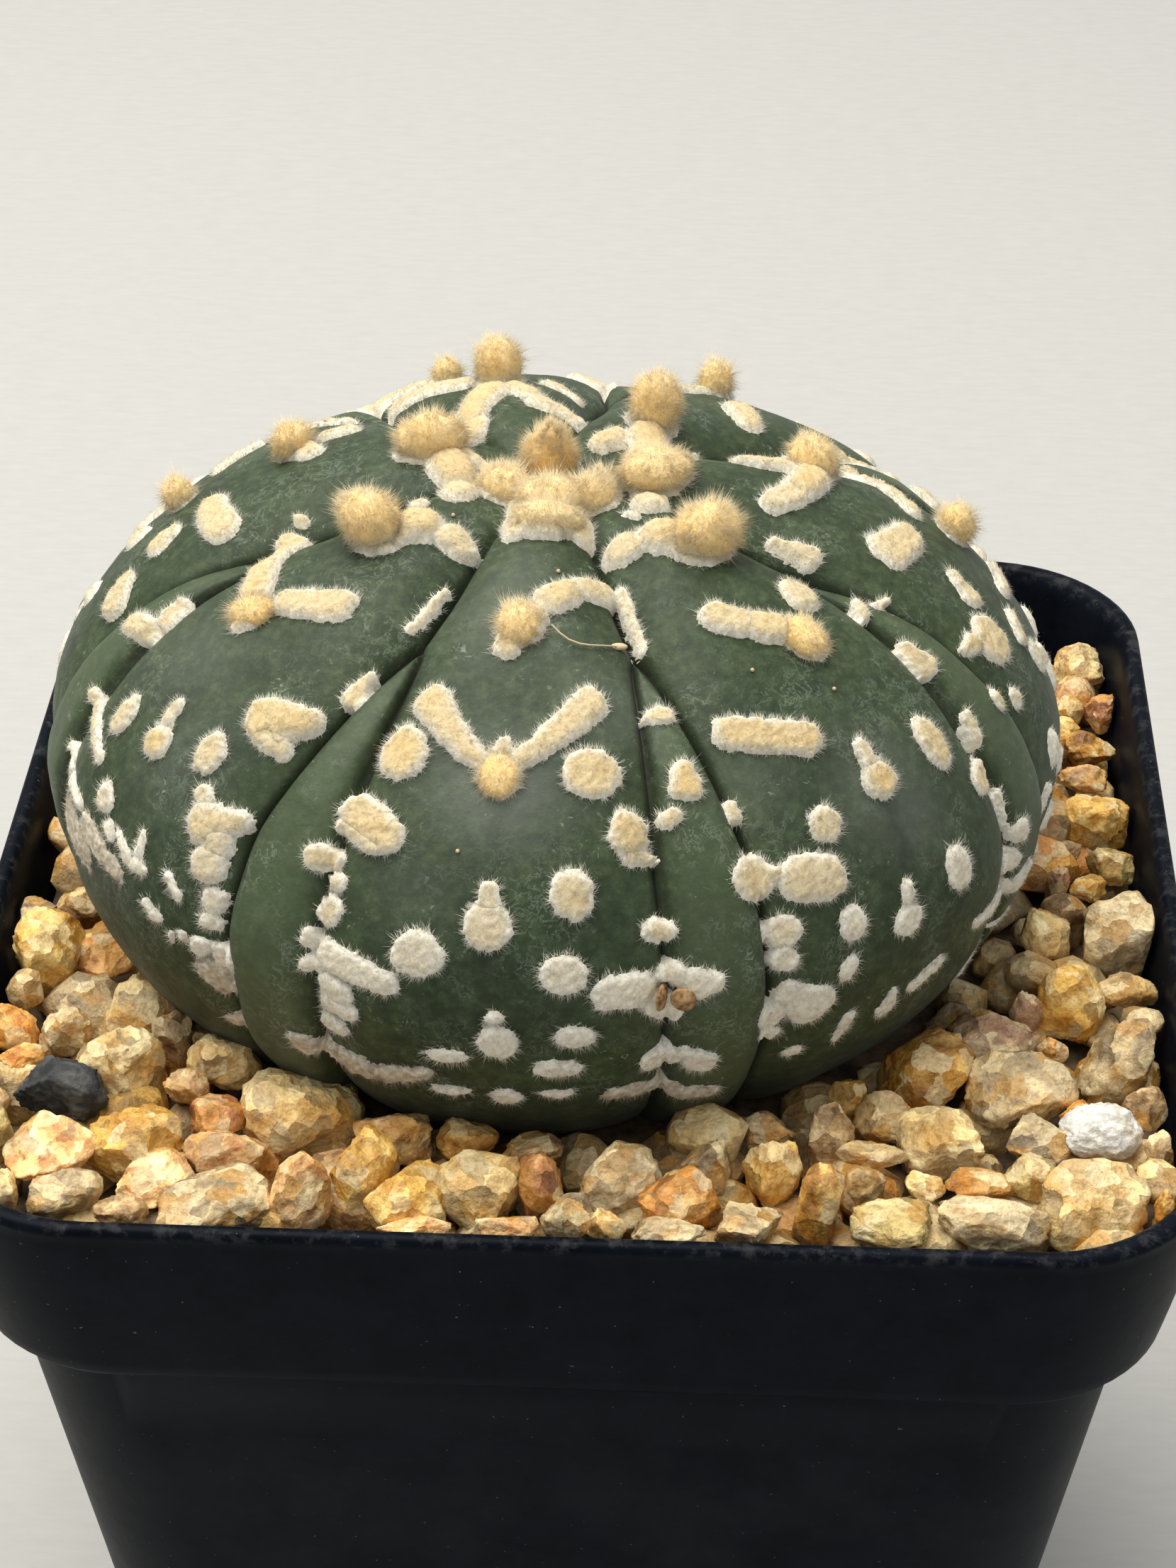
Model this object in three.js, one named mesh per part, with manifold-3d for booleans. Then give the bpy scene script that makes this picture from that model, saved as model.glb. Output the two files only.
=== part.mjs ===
// A star cactus of the humped "fukuryu" form in a square nursery pot, top-dressed with quartz gravel.
// Millimetres, +Z up. The origin is the middle of the pot's underside and -Y is the front.
import * as THREE from "three";
import { mergeVertices } from "three/addons/utils/BufferGeometryUtils.js";
import Module from "manifold-3d";

const wasm = await Module();
wasm.setup();

const clearance = 0.3; // between pieces that rest on each other

// Pot
const potWidth = 75; // across the rim
const potHeight = 68;
const potBaseWidth = 53.4;
const cornerRadius = 9.8;
const bandHeight = 13.1; // the deep band round the rim
const bandFootWidth = 71.2;
const bodyTopWidth = 67.9; // just under the band
const wallThickness = 1.2;
const footHeight = 2;
const footWidth = 11;
const footInset = 2.2;
const floorThickness = 1.6;
const drainHoleWidth = 6.4;
const drainHolePitch = 15;

// Gravel and soil
const gravelFloor = 58;
const gravelLevel = 64.6; // top of the packed bed, under the loose stones
const gravelSlope = 0.045; // the bed falls away towards the back
const stoneSize = 5.2;
const stoneCrowding = 0.43; // distance between two stones, in the sum of their sizes
const stoneTries = 2400; // places drawn for the loose stones; those that fall on another are passed over

// Plant
const plantCentre = new THREE.Vector2(-2.3, 1.8);
const plantRadius = 31.8;
const plantDepthRatio = 30.8 / 31.8; // a little narrower front to back
const equatorHeight = 77;
const crownRise = 18.6; // from the widest level up to the shoulder round the crown
const flankDrop = 18.5;
const sweep = 128; // degrees of the section from the crown to the gravel line
const crownDip = 2.4;
const crownDipRadius = 5;
const grooveDepth = 2.5;
const ribRoundness = 2.5; // power of the rib's section: 2 is a parabola, more is a broader crest
const humpHalfAngle = 5.7; // the extra hump that stands in each groove
const humpStart = 0.25; // how far down the flank it begins
const humpFull = 0.5;
const humpDrop = 0.25; // its crest lies this much below the ribs'
const woolRise = 0.75; // how far the wool stands off the skin

// Middle of each groove, in degrees anticlockwise from +X. The seven ribs stand between them.
const grooves = [30, 80, 130, 194.5, 241.5, 290.7, 339.5];

const black = new THREE.MeshStandardMaterial({ color: 0x24272a, roughness: 0.5, metalness: 0 });
const brown = new THREE.MeshStandardMaterial({ color: 0x3a2c20, roughness: 0.95, metalness: 0 });
const honey = new THREE.MeshStandardMaterial({ color: 0xc79b5c, roughness: 0.6, metalness: 0 });
const green = new THREE.MeshStandardMaterial({ color: 0x3f5440, roughness: 0.55, metalness: 0 });
const slate = new THREE.MeshStandardMaterial({ color: 0x35383a, roughness: 0.8, metalness: 0 });
const chalk = new THREE.MeshStandardMaterial({ color: 0xe4dfd3, roughness: 0.7, metalness: 0 });

const random = THREE.MathUtils.seededRandom;
random(7);

function between(low, high) {
  return low + (high - low) * random();
}

function solidOf(geometry) {
  const plain = geometry.clone();
  plain.deleteAttribute("normal");
  plain.deleteAttribute("uv");
  const merged = mergeVertices(plain, 1e-4);
  const corners = merged.index.array;
  const kept = [];
  for (let i = 0; i < corners.length; i += 3) {
    const [a, b, c] = corners.slice(i, i + 3);
    if (a !== b && b !== c && c !== a) kept.push(a, b, c);
  }
  const vertProperties = merged.attributes.position.array;
  return new wasm.Manifold(new wasm.Mesh({ numProp: 3, vertProperties, triVerts: Uint32Array.from(kept) }));
}

function geometryOf(solid) {
  const mesh = solid.getMesh();
  const geometry = new THREE.BufferGeometry();
  geometry.setAttribute("position", new THREE.BufferAttribute(mesh.vertProperties, 3));
  geometry.setIndex(new THREE.BufferAttribute(mesh.triVerts, 1));
  geometry.computeVertexNormals();
  return geometry;
}

// Outline of a square with round corners, anticlockwise seen from above.
function roundedSquare(halfWidth, radius, cornerSteps = 5) {
  const points = [];
  for (let corner = 0; corner < 4; corner++) {
    const middle = ((corner + 0.5) * Math.PI) / 2;
    const centreX = (halfWidth - radius) * Math.sign(Math.cos(middle));
    const centreY = (halfWidth - radius) * Math.sign(Math.sin(middle));
    for (let step = 0; step <= cornerSteps; step++) {
      const angle = ((corner + step / cornerSteps) * Math.PI) / 2;
      points.push([centreX + radius * Math.cos(angle), centreY + radius * Math.sin(angle)]);
    }
  }
  return points;
}

// Skin over a stack of outlines with equal numbers of points, closed at both ends.
function loft(levels) {
  const count = levels[0].outline.length;
  const positions = [];
  const index = [];
  for (const level of levels) {
    for (const [x, y] of level.outline) positions.push(x, y, level.z);
  }
  for (let row = 0; row + 1 < levels.length; row++) {
    for (let i = 0; i < count; i++) {
      const a = row * count + i;
      const b = row * count + ((i + 1) % count);
      index.push(a, b, b + count, a, b + count, a + count);
    }
  }
  const top = (levels.length - 1) * count;
  for (let i = 1; i + 1 < count; i++) index.push(0, i + 1, i, top, top + i, top + i + 1);
  const geometry = new THREE.BufferGeometry();
  geometry.setAttribute("position", new THREE.Float32BufferAttribute(positions, 3));
  geometry.setIndex(index);
  return geometry;
}

function squareLoft(levels) {
  return solidOf(loft(levels.map(([z, width, radius]) => ({ z, outline: roundedSquare(width / 2, radius) }))));
}

function lathe(profile, sides) {
  const points = profile.map(([radius, height]) => new THREE.Vector2(radius, height));
  return new THREE.LatheGeometry(points, sides).rotateX(Math.PI / 2);
}

// Width of the pot's outside at a height.
function potWidthAt(z) {
  const bandFoot = potHeight - bandHeight;
  if (z < bandFoot) return potBaseWidth + ((bodyTopWidth - potBaseWidth) * (z - footHeight)) / (bandFoot - footHeight);
  return bandFootWidth + ((potWidth - bandFootWidth) * (z - bandFoot)) / bandHeight;
}

// Levels of the pot's inside, or of what fills it at a distance from the wall.
function fillLevels(low, high, gap) {
  const step = potHeight - bandHeight + wallThickness + gap;
  const inset = 2 * (wallThickness + gap);
  const radius = cornerRadius - wallThickness - gap;
  const level = (z, width) => [z, width - inset, radius];
  const levels = [];
  if (low < step - 1) levels.push(level(low, potWidthAt(low)), level(step - 1.2, potWidthAt(step - 3)));
  levels.push(level(Math.max(low, step), potWidthAt(Math.max(low, step))));
  levels.push(level(high, potWidthAt(high)));
  return levels;
}

function makePot() {
  const bandFoot = potHeight - bandHeight;
  const outside = squareLoft([
    [footHeight, potBaseWidth - 1, cornerRadius - 2.5],
    [footHeight + 0.7, potBaseWidth, cornerRadius - 2],
    [bandFoot - 0.01, bodyTopWidth, cornerRadius - 1],
    [bandFoot, bandFootWidth - 0.8, cornerRadius - 0.4],
    [bandFoot + 0.5, bandFootWidth, cornerRadius],
    [potHeight - 0.5, potWidth, cornerRadius],
    [potHeight, potWidth - 0.7, cornerRadius - 0.3],
  ]);
  let pot = outside.subtract(squareLoft(fillLevels(footHeight + floorThickness, potHeight + 1, 0)));
  const footMiddle = potBaseWidth / 2 - footWidth / 2 - footInset;
  for (const x of [-footMiddle, footMiddle]) {
    for (const y of [-footMiddle, footMiddle]) {
      const foot = squareLoft([
        [0, footWidth - 1, 3],
        [footHeight + 0.5, footWidth, 3],
      ]);
      pot = pot.add(foot.translate([x, y, 0]));
    }
  }
  const hole = solidOf(new THREE.CylinderGeometry(drainHoleWidth / 2, drainHoleWidth / 2, 4 * footHeight, 16).rotateX(Math.PI / 2));
  for (const x of [-1, 0, 1]) {
    for (const y of [-1, 0, 1]) {
      if (x * y === 0) pot = pot.subtract(hole.translate([x * drainHolePitch, y * drainHolePitch, footHeight]));
    }
  }
  return pot;
}

// Radius and height of the plant's section, before the ribs; t is 0 at the crown and 1 at the gravel line.
function section(t) {
  const angle = THREE.MathUtils.degToRad(t * sweep);
  const lift = Math.cos(angle);
  const radius = plantRadius * Math.sin(angle) ** (lift >= 0 ? 1 : 0.6);
  const height = lift >= 0 ? crownRise * lift ** 1.12 : flankDrop * lift;
  return [radius, equatorHeight + height - crownDip * Math.exp(-((radius / crownDipRadius) ** 2))];
}

// Half the angle that the hump in a groove takes at t.
function humpHalfAngleAt(t) {
  return humpHalfAngle * Math.sqrt(THREE.MathUtils.clamp((t - humpStart) / (humpFull - humpStart), 0, 1));
}

function grooveDepthAt(t) {
  return grooveDepth * THREE.MathUtils.smoothstep(t, 0, 0.26) * (1 - 0.35 * THREE.MathUtils.smoothstep(t, 0.6, 1));
}

// How far the skin lies below the section at an angle, given the lobe's own coordinate from -1 to 1.
function lobeRelief(across, t, onHump) {
  const shape = Math.abs(across) ** ribRoundness;
  return -grooveDepthAt(t) * shape - (onHump ? humpDrop * (1 - shape) : 0);
}

// The same for any angle: finds the rib or hump that it falls on.
function reliefAt(theta, t) {
  const hump = humpHalfAngleAt(t);
  for (let i = 0; i < grooves.length; i++) {
    const fromGroove = THREE.MathUtils.euclideanModulo(theta - grooves[i] + 180, 360) - 180;
    if (Math.abs(fromGroove) < hump) return lobeRelief(fromGroove / hump, t, true);
    const span = THREE.MathUtils.euclideanModulo(grooves[(i + 1) % grooves.length] - grooves[i], 360);
    if (fromGroove >= hump && fromGroove <= span - hump) {
      return lobeRelief((2 * (fromGroove - hump)) / (span - 2 * hump) - 1, t, false);
    }
  }
  return -grooveDepthAt(t);
}

// A point on the skin, or the given distance above it.
function skinPoint(theta, t, relief = reliefAt(theta, t), raise = 0) {
  const [radius, height] = section(t);
  const [radiusBefore, heightBefore] = section(Math.max(t - 0.002, 0));
  const [radiusAfter, heightAfter] = section(t + 0.002);
  const slope = new THREE.Vector2(heightBefore - heightAfter, radiusAfter - radiusBefore).normalize();
  const angle = THREE.MathUtils.degToRad(theta);
  const outward = radius + (relief + raise) * slope.x;
  return new THREE.Vector3(
    plantCentre.x + outward * Math.cos(angle),
    plantCentre.y + outward * Math.sin(angle) * plantDepthRatio,
    height + (relief + raise) * slope.y,
  );
}

// Ribs and humps as one closed skin of rows round the plant.
const ribColumns = 6;
const humpColumns = 4;
const skinRows = 16;
const buriedBase = { scale: 0.86, z: 61.6 };

function columnsAt(t) {
  const hump = humpHalfAngleAt(t);
  const columns = [];
  for (let i = 0; i < grooves.length; i++) {
    const span = THREE.MathUtils.euclideanModulo(grooves[(i + 1) % grooves.length] - grooves[i], 360);
    for (let step = 0; step < humpColumns; step++) {
      const across = (2 * step) / humpColumns - 1;
      columns.push([grooves[i] + across * hump, lobeRelief(across, t, true)]);
    }
    for (let step = 0; step < ribColumns; step++) {
      const across = Math.sin((Math.PI / 2) * ((2 * step) / ribColumns - 1));
      columns.push([grooves[i] + span / 2 + across * (span / 2 - hump), lobeRelief(across, t, false)]);
    }
  }
  return columns;
}

function makeSkin() {
  const count = grooves.length * (ribColumns + humpColumns);
  const positions = [...skinPoint(0, 0, 0).toArray()];
  let lastRow = [];
  for (let row = 1; row <= skinRows; row++) {
    const t = row / skinRows;
    const open = humpHalfAngleAt(t) > 0;
    lastRow = columnsAt(t).map(([theta, relief]) => skinPoint(theta, t, open ? relief : reliefAt(theta, t)));
    for (const point of lastRow) positions.push(...point.toArray());
  }
  for (const point of lastRow) {
    positions.push(
      plantCentre.x + (point.x - plantCentre.x) * buriedBase.scale,
      plantCentre.y + (point.y - plantCentre.y) * buriedBase.scale,
      buriedBase.z,
    );
  }
  positions.push(plantCentre.x, plantCentre.y, buriedBase.z - 1);
  const index = [];
  for (let i = 0; i < count; i++) {
    const next = (i + 1) % count;
    index.push(0, 1 + i, 1 + next);
    for (let row = 0; row < skinRows; row++) {
      const upper = 1 + row * count;
      const lower = upper + count;
      index.push(upper + i, lower + i, lower + next, upper + i, lower + next, upper + next);
    }
    const base = 1 + skinRows * count;
    index.push(base + i, base + count, base + next);
  }
  const geometry = new THREE.BufferGeometry();
  geometry.setAttribute("position", new THREE.Float32BufferAttribute(positions, 3));
  geometry.setIndex(index);
  return solidOf(geometry);
}

// Radius of the taproot at each height under the body.
const rootProfile = [[0, 38.5], [2.2, 39.4], [4.2, 45], [7, 53], [10.5, 57.5], [12.2, 60.2]];

function makeRoot() {
  return solidOf(lathe([...rootProfile, [12.2, 61.3], [0, 61.3]], 14)).translate([plantCentre.x, plantCentre.y, 0]);
}

// Wool on the skin. A pad lies between two places, each an angle and a t, and is wider in its middle.
// Its root is sunk in the skin and its top rises above it.
function woolPad([fromTheta, fromT, toTheta, toT, width, rise = woolRise], shape) {
  const from = skinPoint(fromTheta, fromT);
  const to = skinPoint(toTheta, toT);
  const theta = (fromTheta + toTheta) / 2;
  const t = (fromT + toT) / 2;
  const middle = skinPoint(theta, t);
  const across = skinPoint(theta + 2, t).sub(skinPoint(theta - 2, t));
  const normal = skinPoint(theta, t + 0.02).sub(skinPoint(theta, t - 0.02)).cross(across).normalize();
  const along = to.clone().sub(from);
  along.addScaledVector(normal, -along.dot(normal));
  const length = Math.max(along.length(), 0.1);
  along.normalize();
  const side = normal.clone().cross(along);
  const matrix = new THREE.Matrix4().makeBasis(along, side, normal);
  const geometry = shape.clone().scale(length / 2, width / 2, rise);
  return solidOf(geometry.applyMatrix4(matrix).translate(middle.x, middle.y, middle.z));
}

const barShape = new THREE.CylinderGeometry(0.8, 1.1, 1.9, 6).rotateX(Math.PI / 2).translate(0, 0, 0.05);
const spotShape = new THREE.CylinderGeometry(0.75, 1.2, 1.9, 5).rotateX(Math.PI / 2).translate(0, 0, 0.05);
const tuftShape = new THREE.IcosahedronGeometry(1, 1);

// Round pad at a place, with its length down the flank and its width in millimetres.
function dot(theta, t, length, width, rise) {
  const half = length / 116; // 58 mm of skin from the crown to the gravel line
  return [theta, t - half, theta, t + half, width, rise];
}

// Tufts of the young areoles near the crown: angle, t, width and rise.
const tufts = [
  [90, 0.02, 5, 2.6], [100, 0.06, 4, 3.6], [264, 0.085, 4.6, 1.6], [20, 0.09, 4.4, 2.4], [209, 0.16, 4.6, 2.2],
  [322, 0.155, 4.8, 2.4], [155, 0.1, 4.6, 2.2], [52, 0.13, 4.2, 2.6], [103, 0.17, 4.4, 2.6], [12, 0.235, 4.2, 2.2],
  [152, 0.26, 4, 2], [12, 0.385, 3.6, 1.9], [160, 0.39, 3.4, 1.8], [124, 0.22, 3, 1.4], [60, 0.24, 3.6, 2],
];

// Bars and wings of wool: from angle and t, to angle and t, and width.
const bars = [
  [264, 0.25, 270, 0.19, 2.6], [272, 0.195, 288, 0.185, 1.7], [252, 0.3, 264, 0.365, 1.9], [281, 0.29, 268, 0.365, 1.9],
  [304, 0.24, 319, 0.28, 2.2], [323, 0.265, 333, 0.25, 2.4], [297, 0.35, 312, 0.39, 2.6], [313, 0.14, 291, 0.15, 2],
  [194, 0.235, 209, 0.295, 2.2], [213, 0.285, 229, 0.24, 2.2], [215, 0.145, 244, 0.15, 2], [140, 0.1, 115, 0.15, 2],
  [80, 0.11, 96, 0.155, 2], [350, 0.185, 6, 0.21, 2], [352, 0.29, 9, 0.36, 2.2], [35, 0.205, 58, 0.34, 1.8],
  [165, 0.34, 180, 0.3, 2], [166, 0.22, 176, 0.2, 1.9], [197, 0.5, 209, 0.555, 1.8], [345, 0.515, 356, 0.575, 2],
  [323, 0.82, 345, 0.72, 2], [176, 0.32, 188, 0.3, 2.2], [345, 0.455, 358, 0.46, 2.6],
];

// Wool along the grooves and their humps: angle, t, length down the flank, width.
const grooveWool = [
  [243.8, 0.22, 4, 1.4], [241.8, 0.32, 2.6, 1.6], [251.5, 0.46, 3.4, 4], [246.3, 0.51, 3, 1.8], [252, 0.65, 3.2, 4.4],
  [249, 0.72, 6, 2], [247.5, 0.84, 5, 3], [290, 0.235, 4.4, 1.2], [289.8, 0.325, 2.4, 2], [290.3, 0.4, 3.4, 2.2],
  [281.5, 0.445, 3, 3.8], [283.3, 0.56, 3.2, 2.2], [283.5, 0.66, 4, 7], [286.5, 0.82, 4, 4], [286, 0.9, 3.6, 5.5],
  [299.8, 0.535, 3.6, 6], [299, 0.76, 6.4, 4.2], [333, 0.685, 5, 5], [330.5, 0.545, 3.4, 4.4], [232.5, 0.385, 3.4, 6],
  [232, 0.55, 5, 3.4], [234.3, 0.71, 7, 3], [334.5, 0.31, 4.4, 3.4], [339, 0.23, 3, 3.4], [333, 0.385, 3.4, 2.8],
];

// Spots and drops of wool on the ribs: angle, t, length down the flank, width.
const spots = [
  [265.5, 0.375, 3.6, 2.6], [265.8, 0.55, 4.6, 2.4], [266.7, 0.745, 4.4, 2.4], [267.7, 0.875, 4, 2.6],
  [251.8, 0.375, 3.6, 3.6], [278.3, 0.383, 3.4, 3.6], [275.3, 0.518, 3.1, 2.2], [258.8, 0.602, 3.3, 2.8],
  [274.5, 0.62, 3.4, 2.5], [275.5, 0.735, 3.2, 2.1], [261.8, 0.787, 2.7, 2.5], [273.4, 0.83, 4, 2.2],
  [321.8, 0.295, 3.8, 2.6], [316.5, 0.455, 3.6, 3.2], [306.8, 0.485, 2.5, 2.2], [327.3, 0.462, 3.3, 3.6],
  [306.3, 0.623, 2.8, 1.8], [313.7, 0.65, 4.8, 2], [323, 0.63, 3.8, 3], [306, 0.7, 3.4, 1.9], [314, 0.815, 3.4, 4.4],
  [211.5, 0.315, 3.8, 2.6], [216, 0.455, 3.8, 2.8], [208.3, 0.482, 3, 3.2], [225.5, 0.45, 3, 2.6],
  [214, 0.6, 3.4, 2.6], [222, 0.61, 4.2, 2.4], [199, 0.39, 4, 3.4], [203, 0.595, 3.4, 2.6], [0, 0.415, 3.4, 3.8],
  [18, 0.33, 3.2, 3], [177, 0.39, 3.2, 3.4],
];

// The far side of the plant, which carries the same pattern down each rib.
const farRibs = [5, 55, 105, 160];
const farRows = [0.46, 0.6, 0.74, 0.87];

function farWool() {
  const pads = [];
  for (const crest of farRibs) {
    for (const row of farRows) {
      const t = row + between(-0.01, 0.01);
      pads.push(dot(crest + between(-1, 1), t, between(3.4, 4.2), 2.5));
      for (const turn of [-1, 1]) {
        pads.push(dot(crest + turn * between(8, 10.5), t + between(0.02, 0.06), between(2.8, 3.6), between(2.2, 2.8)));
      }
    }
  }
  for (const groove of [30, 80, 130]) {
    for (const t of [0.33, 0.5, 0.66, 0.82]) {
      pads.push(dot(groove + between(-1.5, 1.5) + (t < 0.4 ? 0 : 6.4), t, between(3.6, 5), between(2.6, 3.8)));
    }
  }
  return pads;
}

function makeCactus() {
  let plant = makeSkin().add(makeRoot());
  for (const [theta, t, width, rise] of tufts) {
    plant = plant.add(woolPad(dot(theta, t, width, width, rise), tuftShape));
  }
  for (const bar of bars) plant = plant.add(woolPad(bar, barShape));
  const places = [...grooveWool, ...spots].map(([theta, t, length, width]) => dot(theta, t, length, width));
  for (const pad of [...places, ...farWool()]) plant = plant.add(woolPad(pad, spotShape));
  return plant;
}

// A worn quartz stone: an icosahedron with its corners moved in and out.
function stone(size, detail = 0) {
  const geometry = new THREE.IcosahedronGeometry(0.5, detail);
  geometry.deleteAttribute("normal");
  geometry.deleteAttribute("uv");
  const rough = mergeVertices(geometry, 1e-4);
  const points = rough.attributes.position;
  const corner = new THREE.Vector3();
  for (let i = 0; i < points.count; i++) {
    corner.fromBufferAttribute(points, i).multiplyScalar(between(0.86, 1.14));
    points.setXYZ(i, corner.x, corner.y, corner.z);
  }
  rough.scale(size * between(0.95, 1.35), size * between(0.8, 1.1), size * between(0.65, 0.9));
  return rough.rotateX(between(-0.5, 0.5)).rotateY(between(-0.5, 0.5)).rotateZ(between(0, Math.PI));
}

// Two odd stones lie apart from the honey ones.
const darkStonePlace = [-30, -23.2, 66.2];
const whiteStonePlace = [31.2, -24.2, 66.4];

function placed(geometry, place, grow = 1) {
  return solidOf(geometry.clone().scale(grow, grow, grow).translate(...place));
}

// Room for the plant in the bed and the soil: its section with the wool on it, and its root, with clearance all round.
function plantHole() {
  const wall = [];
  for (let t = 0.87; t <= 1.001; t += 0.065) {
    const [radius, height] = section(t);
    wall.unshift([radius + woolRise + clearance, height]);
  }
  const [rimRadius] = wall[0];
  const profile = rootProfile.map(([radius, z]) => [radius && radius + clearance + 0.2, z - clearance]);
  const shelf = buriedBase.z - 1 - clearance;
  profile.push([profile.at(-1)[0], shelf], [rimRadius * buriedBase.scale + clearance, shelf], ...wall);
  profile.push([0, wall.at(-1)[1]]);
  const hole = solidOf(lathe(profile, 56).scale(1, plantDepthRatio, 1));
  return hole.translate([plantCentre.x, plantCentre.y, 0]);
}

function makeGravel(darkStone, whiteStone) {
  const top = potHeight + 1.5;
  const bedLevels = fillLevels(gravelFloor, top, clearance);
  const inside = squareLoft(bedLevels);
  const bed = solidOf(
    new THREE.BoxGeometry(potWidth, potWidth, 2 * stoneSize).applyMatrix4(
      new THREE.Matrix4().makeShear(0, 0, 0, -gravelSlope, 0, 0),
    ).translate(0, 0, gravelLevel - stoneSize),
  );
  let gravel = bed;
  const laid = [darkStonePlace, whiteStonePlace].map(([x, y]) => [x, y, stoneSize]);
  for (let attempt = 0; attempt < stoneTries; attempt++) {
    const size = stoneSize * between(0.7, 1.2);
    const reach = potWidthAt(potHeight) / 2 - wallThickness - clearance - size / 2;
    const x = between(-reach, reach);
    const y = between(-reach, reach);
    const fromPlant = Math.hypot(x - plantCentre.x, (y - plantCentre.y) / plantDepthRatio);
    const meets = ([otherX, otherY, other]) => Math.hypot(x - otherX, y - otherY) < stoneCrowding * (size + other);
    if (fromPlant < section(1)[0] + 0.55 * size || laid.some(meets)) continue;
    laid.push([x, y, size]);
    gravel = gravel.add(placed(stone(size), [x, y, gravelLevel - gravelSlope * y + between(-0.2, 0.8)]));
  }
  gravel = gravel.intersect(inside).subtract(plantHole());
  return gravel.subtract(placed(darkStone, darkStonePlace, 1.16)).subtract(placed(whiteStone, whiteStonePlace, 1.16));
}

function makeSoil() {
  const soil = squareLoft(fillLevels(footHeight + floorThickness + clearance, gravelFloor - clearance, clearance));
  return soil.subtract(plantHole());
}

// The largest body of a cut piece, without the crumbs that fall off it.
function largest(solid) {
  return solid.decompose().reduce((best, piece) => (piece.volume() > best.volume() ? piece : best));
}

const group = new THREE.Group();

function addNode(name, solid, material) {
  const mesh = new THREE.Mesh(geometryOf(solid), material);
  mesh.name = name;
  group.add(mesh);
}

const darkStone = stone(5, 1);
const whiteStone = stone(4.2, 1);
addNode("pot", makePot(), black);
addNode("potting_soil", makeSoil(), brown);
addNode("gravel_dressing", largest(makeGravel(darkStone, whiteStone)), honey);
addNode("cactus", makeCactus(), green);
addNode("dark_stone", placed(darkStone, darkStonePlace), slate);
addNode("white_stone", placed(whiteStone, whiteStonePlace), chalk);

export default group;
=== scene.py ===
import math

import bmesh
import bpy
import numpy as np
from mathutils import Matrix, Vector, noise


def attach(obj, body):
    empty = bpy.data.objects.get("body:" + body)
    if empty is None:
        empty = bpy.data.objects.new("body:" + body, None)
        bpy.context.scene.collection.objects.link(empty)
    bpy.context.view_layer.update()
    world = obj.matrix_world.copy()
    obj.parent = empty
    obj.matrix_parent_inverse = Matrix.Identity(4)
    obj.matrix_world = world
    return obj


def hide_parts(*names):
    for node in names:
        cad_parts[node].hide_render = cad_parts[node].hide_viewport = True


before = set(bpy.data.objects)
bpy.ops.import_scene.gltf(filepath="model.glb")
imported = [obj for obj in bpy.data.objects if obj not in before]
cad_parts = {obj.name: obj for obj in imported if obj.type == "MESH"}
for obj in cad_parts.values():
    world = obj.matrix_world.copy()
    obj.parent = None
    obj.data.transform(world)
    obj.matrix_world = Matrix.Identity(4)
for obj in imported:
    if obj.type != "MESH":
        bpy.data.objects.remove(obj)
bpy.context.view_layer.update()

rng = np.random.default_rng(11)
mm = 0.001  # the values below are millimetres; every mesh is scaled to metres as it is added


def addPiece(name, mesh, material, slot, *replaced):
    mesh.transform(Matrix.Scale(mm, 4))
    mesh.materials.append(material)
    mesh.shade_smooth()
    piece = bpy.data.objects.new(name, mesh)
    bpy.context.scene.collection.objects.link(piece)
    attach(piece, "root")
    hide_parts(*replaced)


def meshOf(name, bm):
    mesh = bpy.data.meshes.new(name)
    bm.to_mesh(mesh)
    bm.free()
    return mesh


def shapeOf(create, **settings):  # corners and triangles of one operator's shape, for copying many times
    bm = bmesh.new()
    create(bm, **settings)
    bmesh.ops.triangulate(bm, faces=bm.faces)
    corners = np.array([v.co[:] for v in bm.verts])
    faces = np.array([[v.index for v in f.verts] for f in bm.faces])
    bm.free()
    return corners, faces


def meshOfCopies(name, copies):  # each copy has its corners, its faces and one colour for each corner
    starts = np.cumsum([0] + [len(corners) for corners, faces, tints in copies[:-1]])
    corners, tints = (np.concatenate([copy[part] for copy in copies]) for part in (0, 2))
    faces = np.concatenate([copy[1] + start for start, copy in zip(starts, copies)])
    mesh = bpy.data.meshes.new(name)
    mesh.from_pydata(corners.tolist(), [], faces.tolist())
    paint(mesh, "tint", tints)
    bm = bmesh.new()
    bm.from_mesh(mesh)
    bmesh.ops.recalc_face_normals(bm, faces=bm.faces)
    bm.to_mesh(mesh)
    bm.free()
    return mesh


def paint(mesh, name, colours):
    layer = mesh.color_attributes.new(name, "FLOAT_COLOR", "POINT")
    rows = np.ones((len(mesh.vertices), 4), np.float32)
    rows[:, : colours.shape[1]] = colours
    layer.data.foreach_set("color", rows.ravel())


def ripple(points, frequency, seed=0.0):  # smooth noise, about -1 to 1, at each point
    shift = Vector((seed, seed * 1.7, -seed))
    return np.array([noise.noise(Vector(p) * frequency + shift) for p in points])


def smoothstep(x, low, high):
    x = np.clip((x - low) / (high - low), 0, 1)
    return x * x * (3 - 2 * x)


# Materials. What goes into a socket is written as a node and the name or number of its output.

def newMaterial(name, **shader):
    material = bpy.data.materials.new(name)
    material.use_nodes = True
    bsdf = material.node_tree.nodes["Principled BSDF"]
    for socket, value in shader.items():
        bsdf.inputs[socket.replace("_", " ")].default_value = value
    return material


def addNode(material, kind, links=(), **values):  # links: {input: (node, output)}; values: what is fixed
    node = material.node_tree.nodes.new("ShaderNode" + kind)
    for name, value in values.items():
        if hasattr(node, name):
            setattr(node, name, value)
        else:
            node.inputs[name.replace("_", " ")].default_value = value
    for socket, (source, output) in dict(links).items():
        material.node_tree.links.new(source.outputs[output], node.inputs[socket])
    return node


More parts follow.
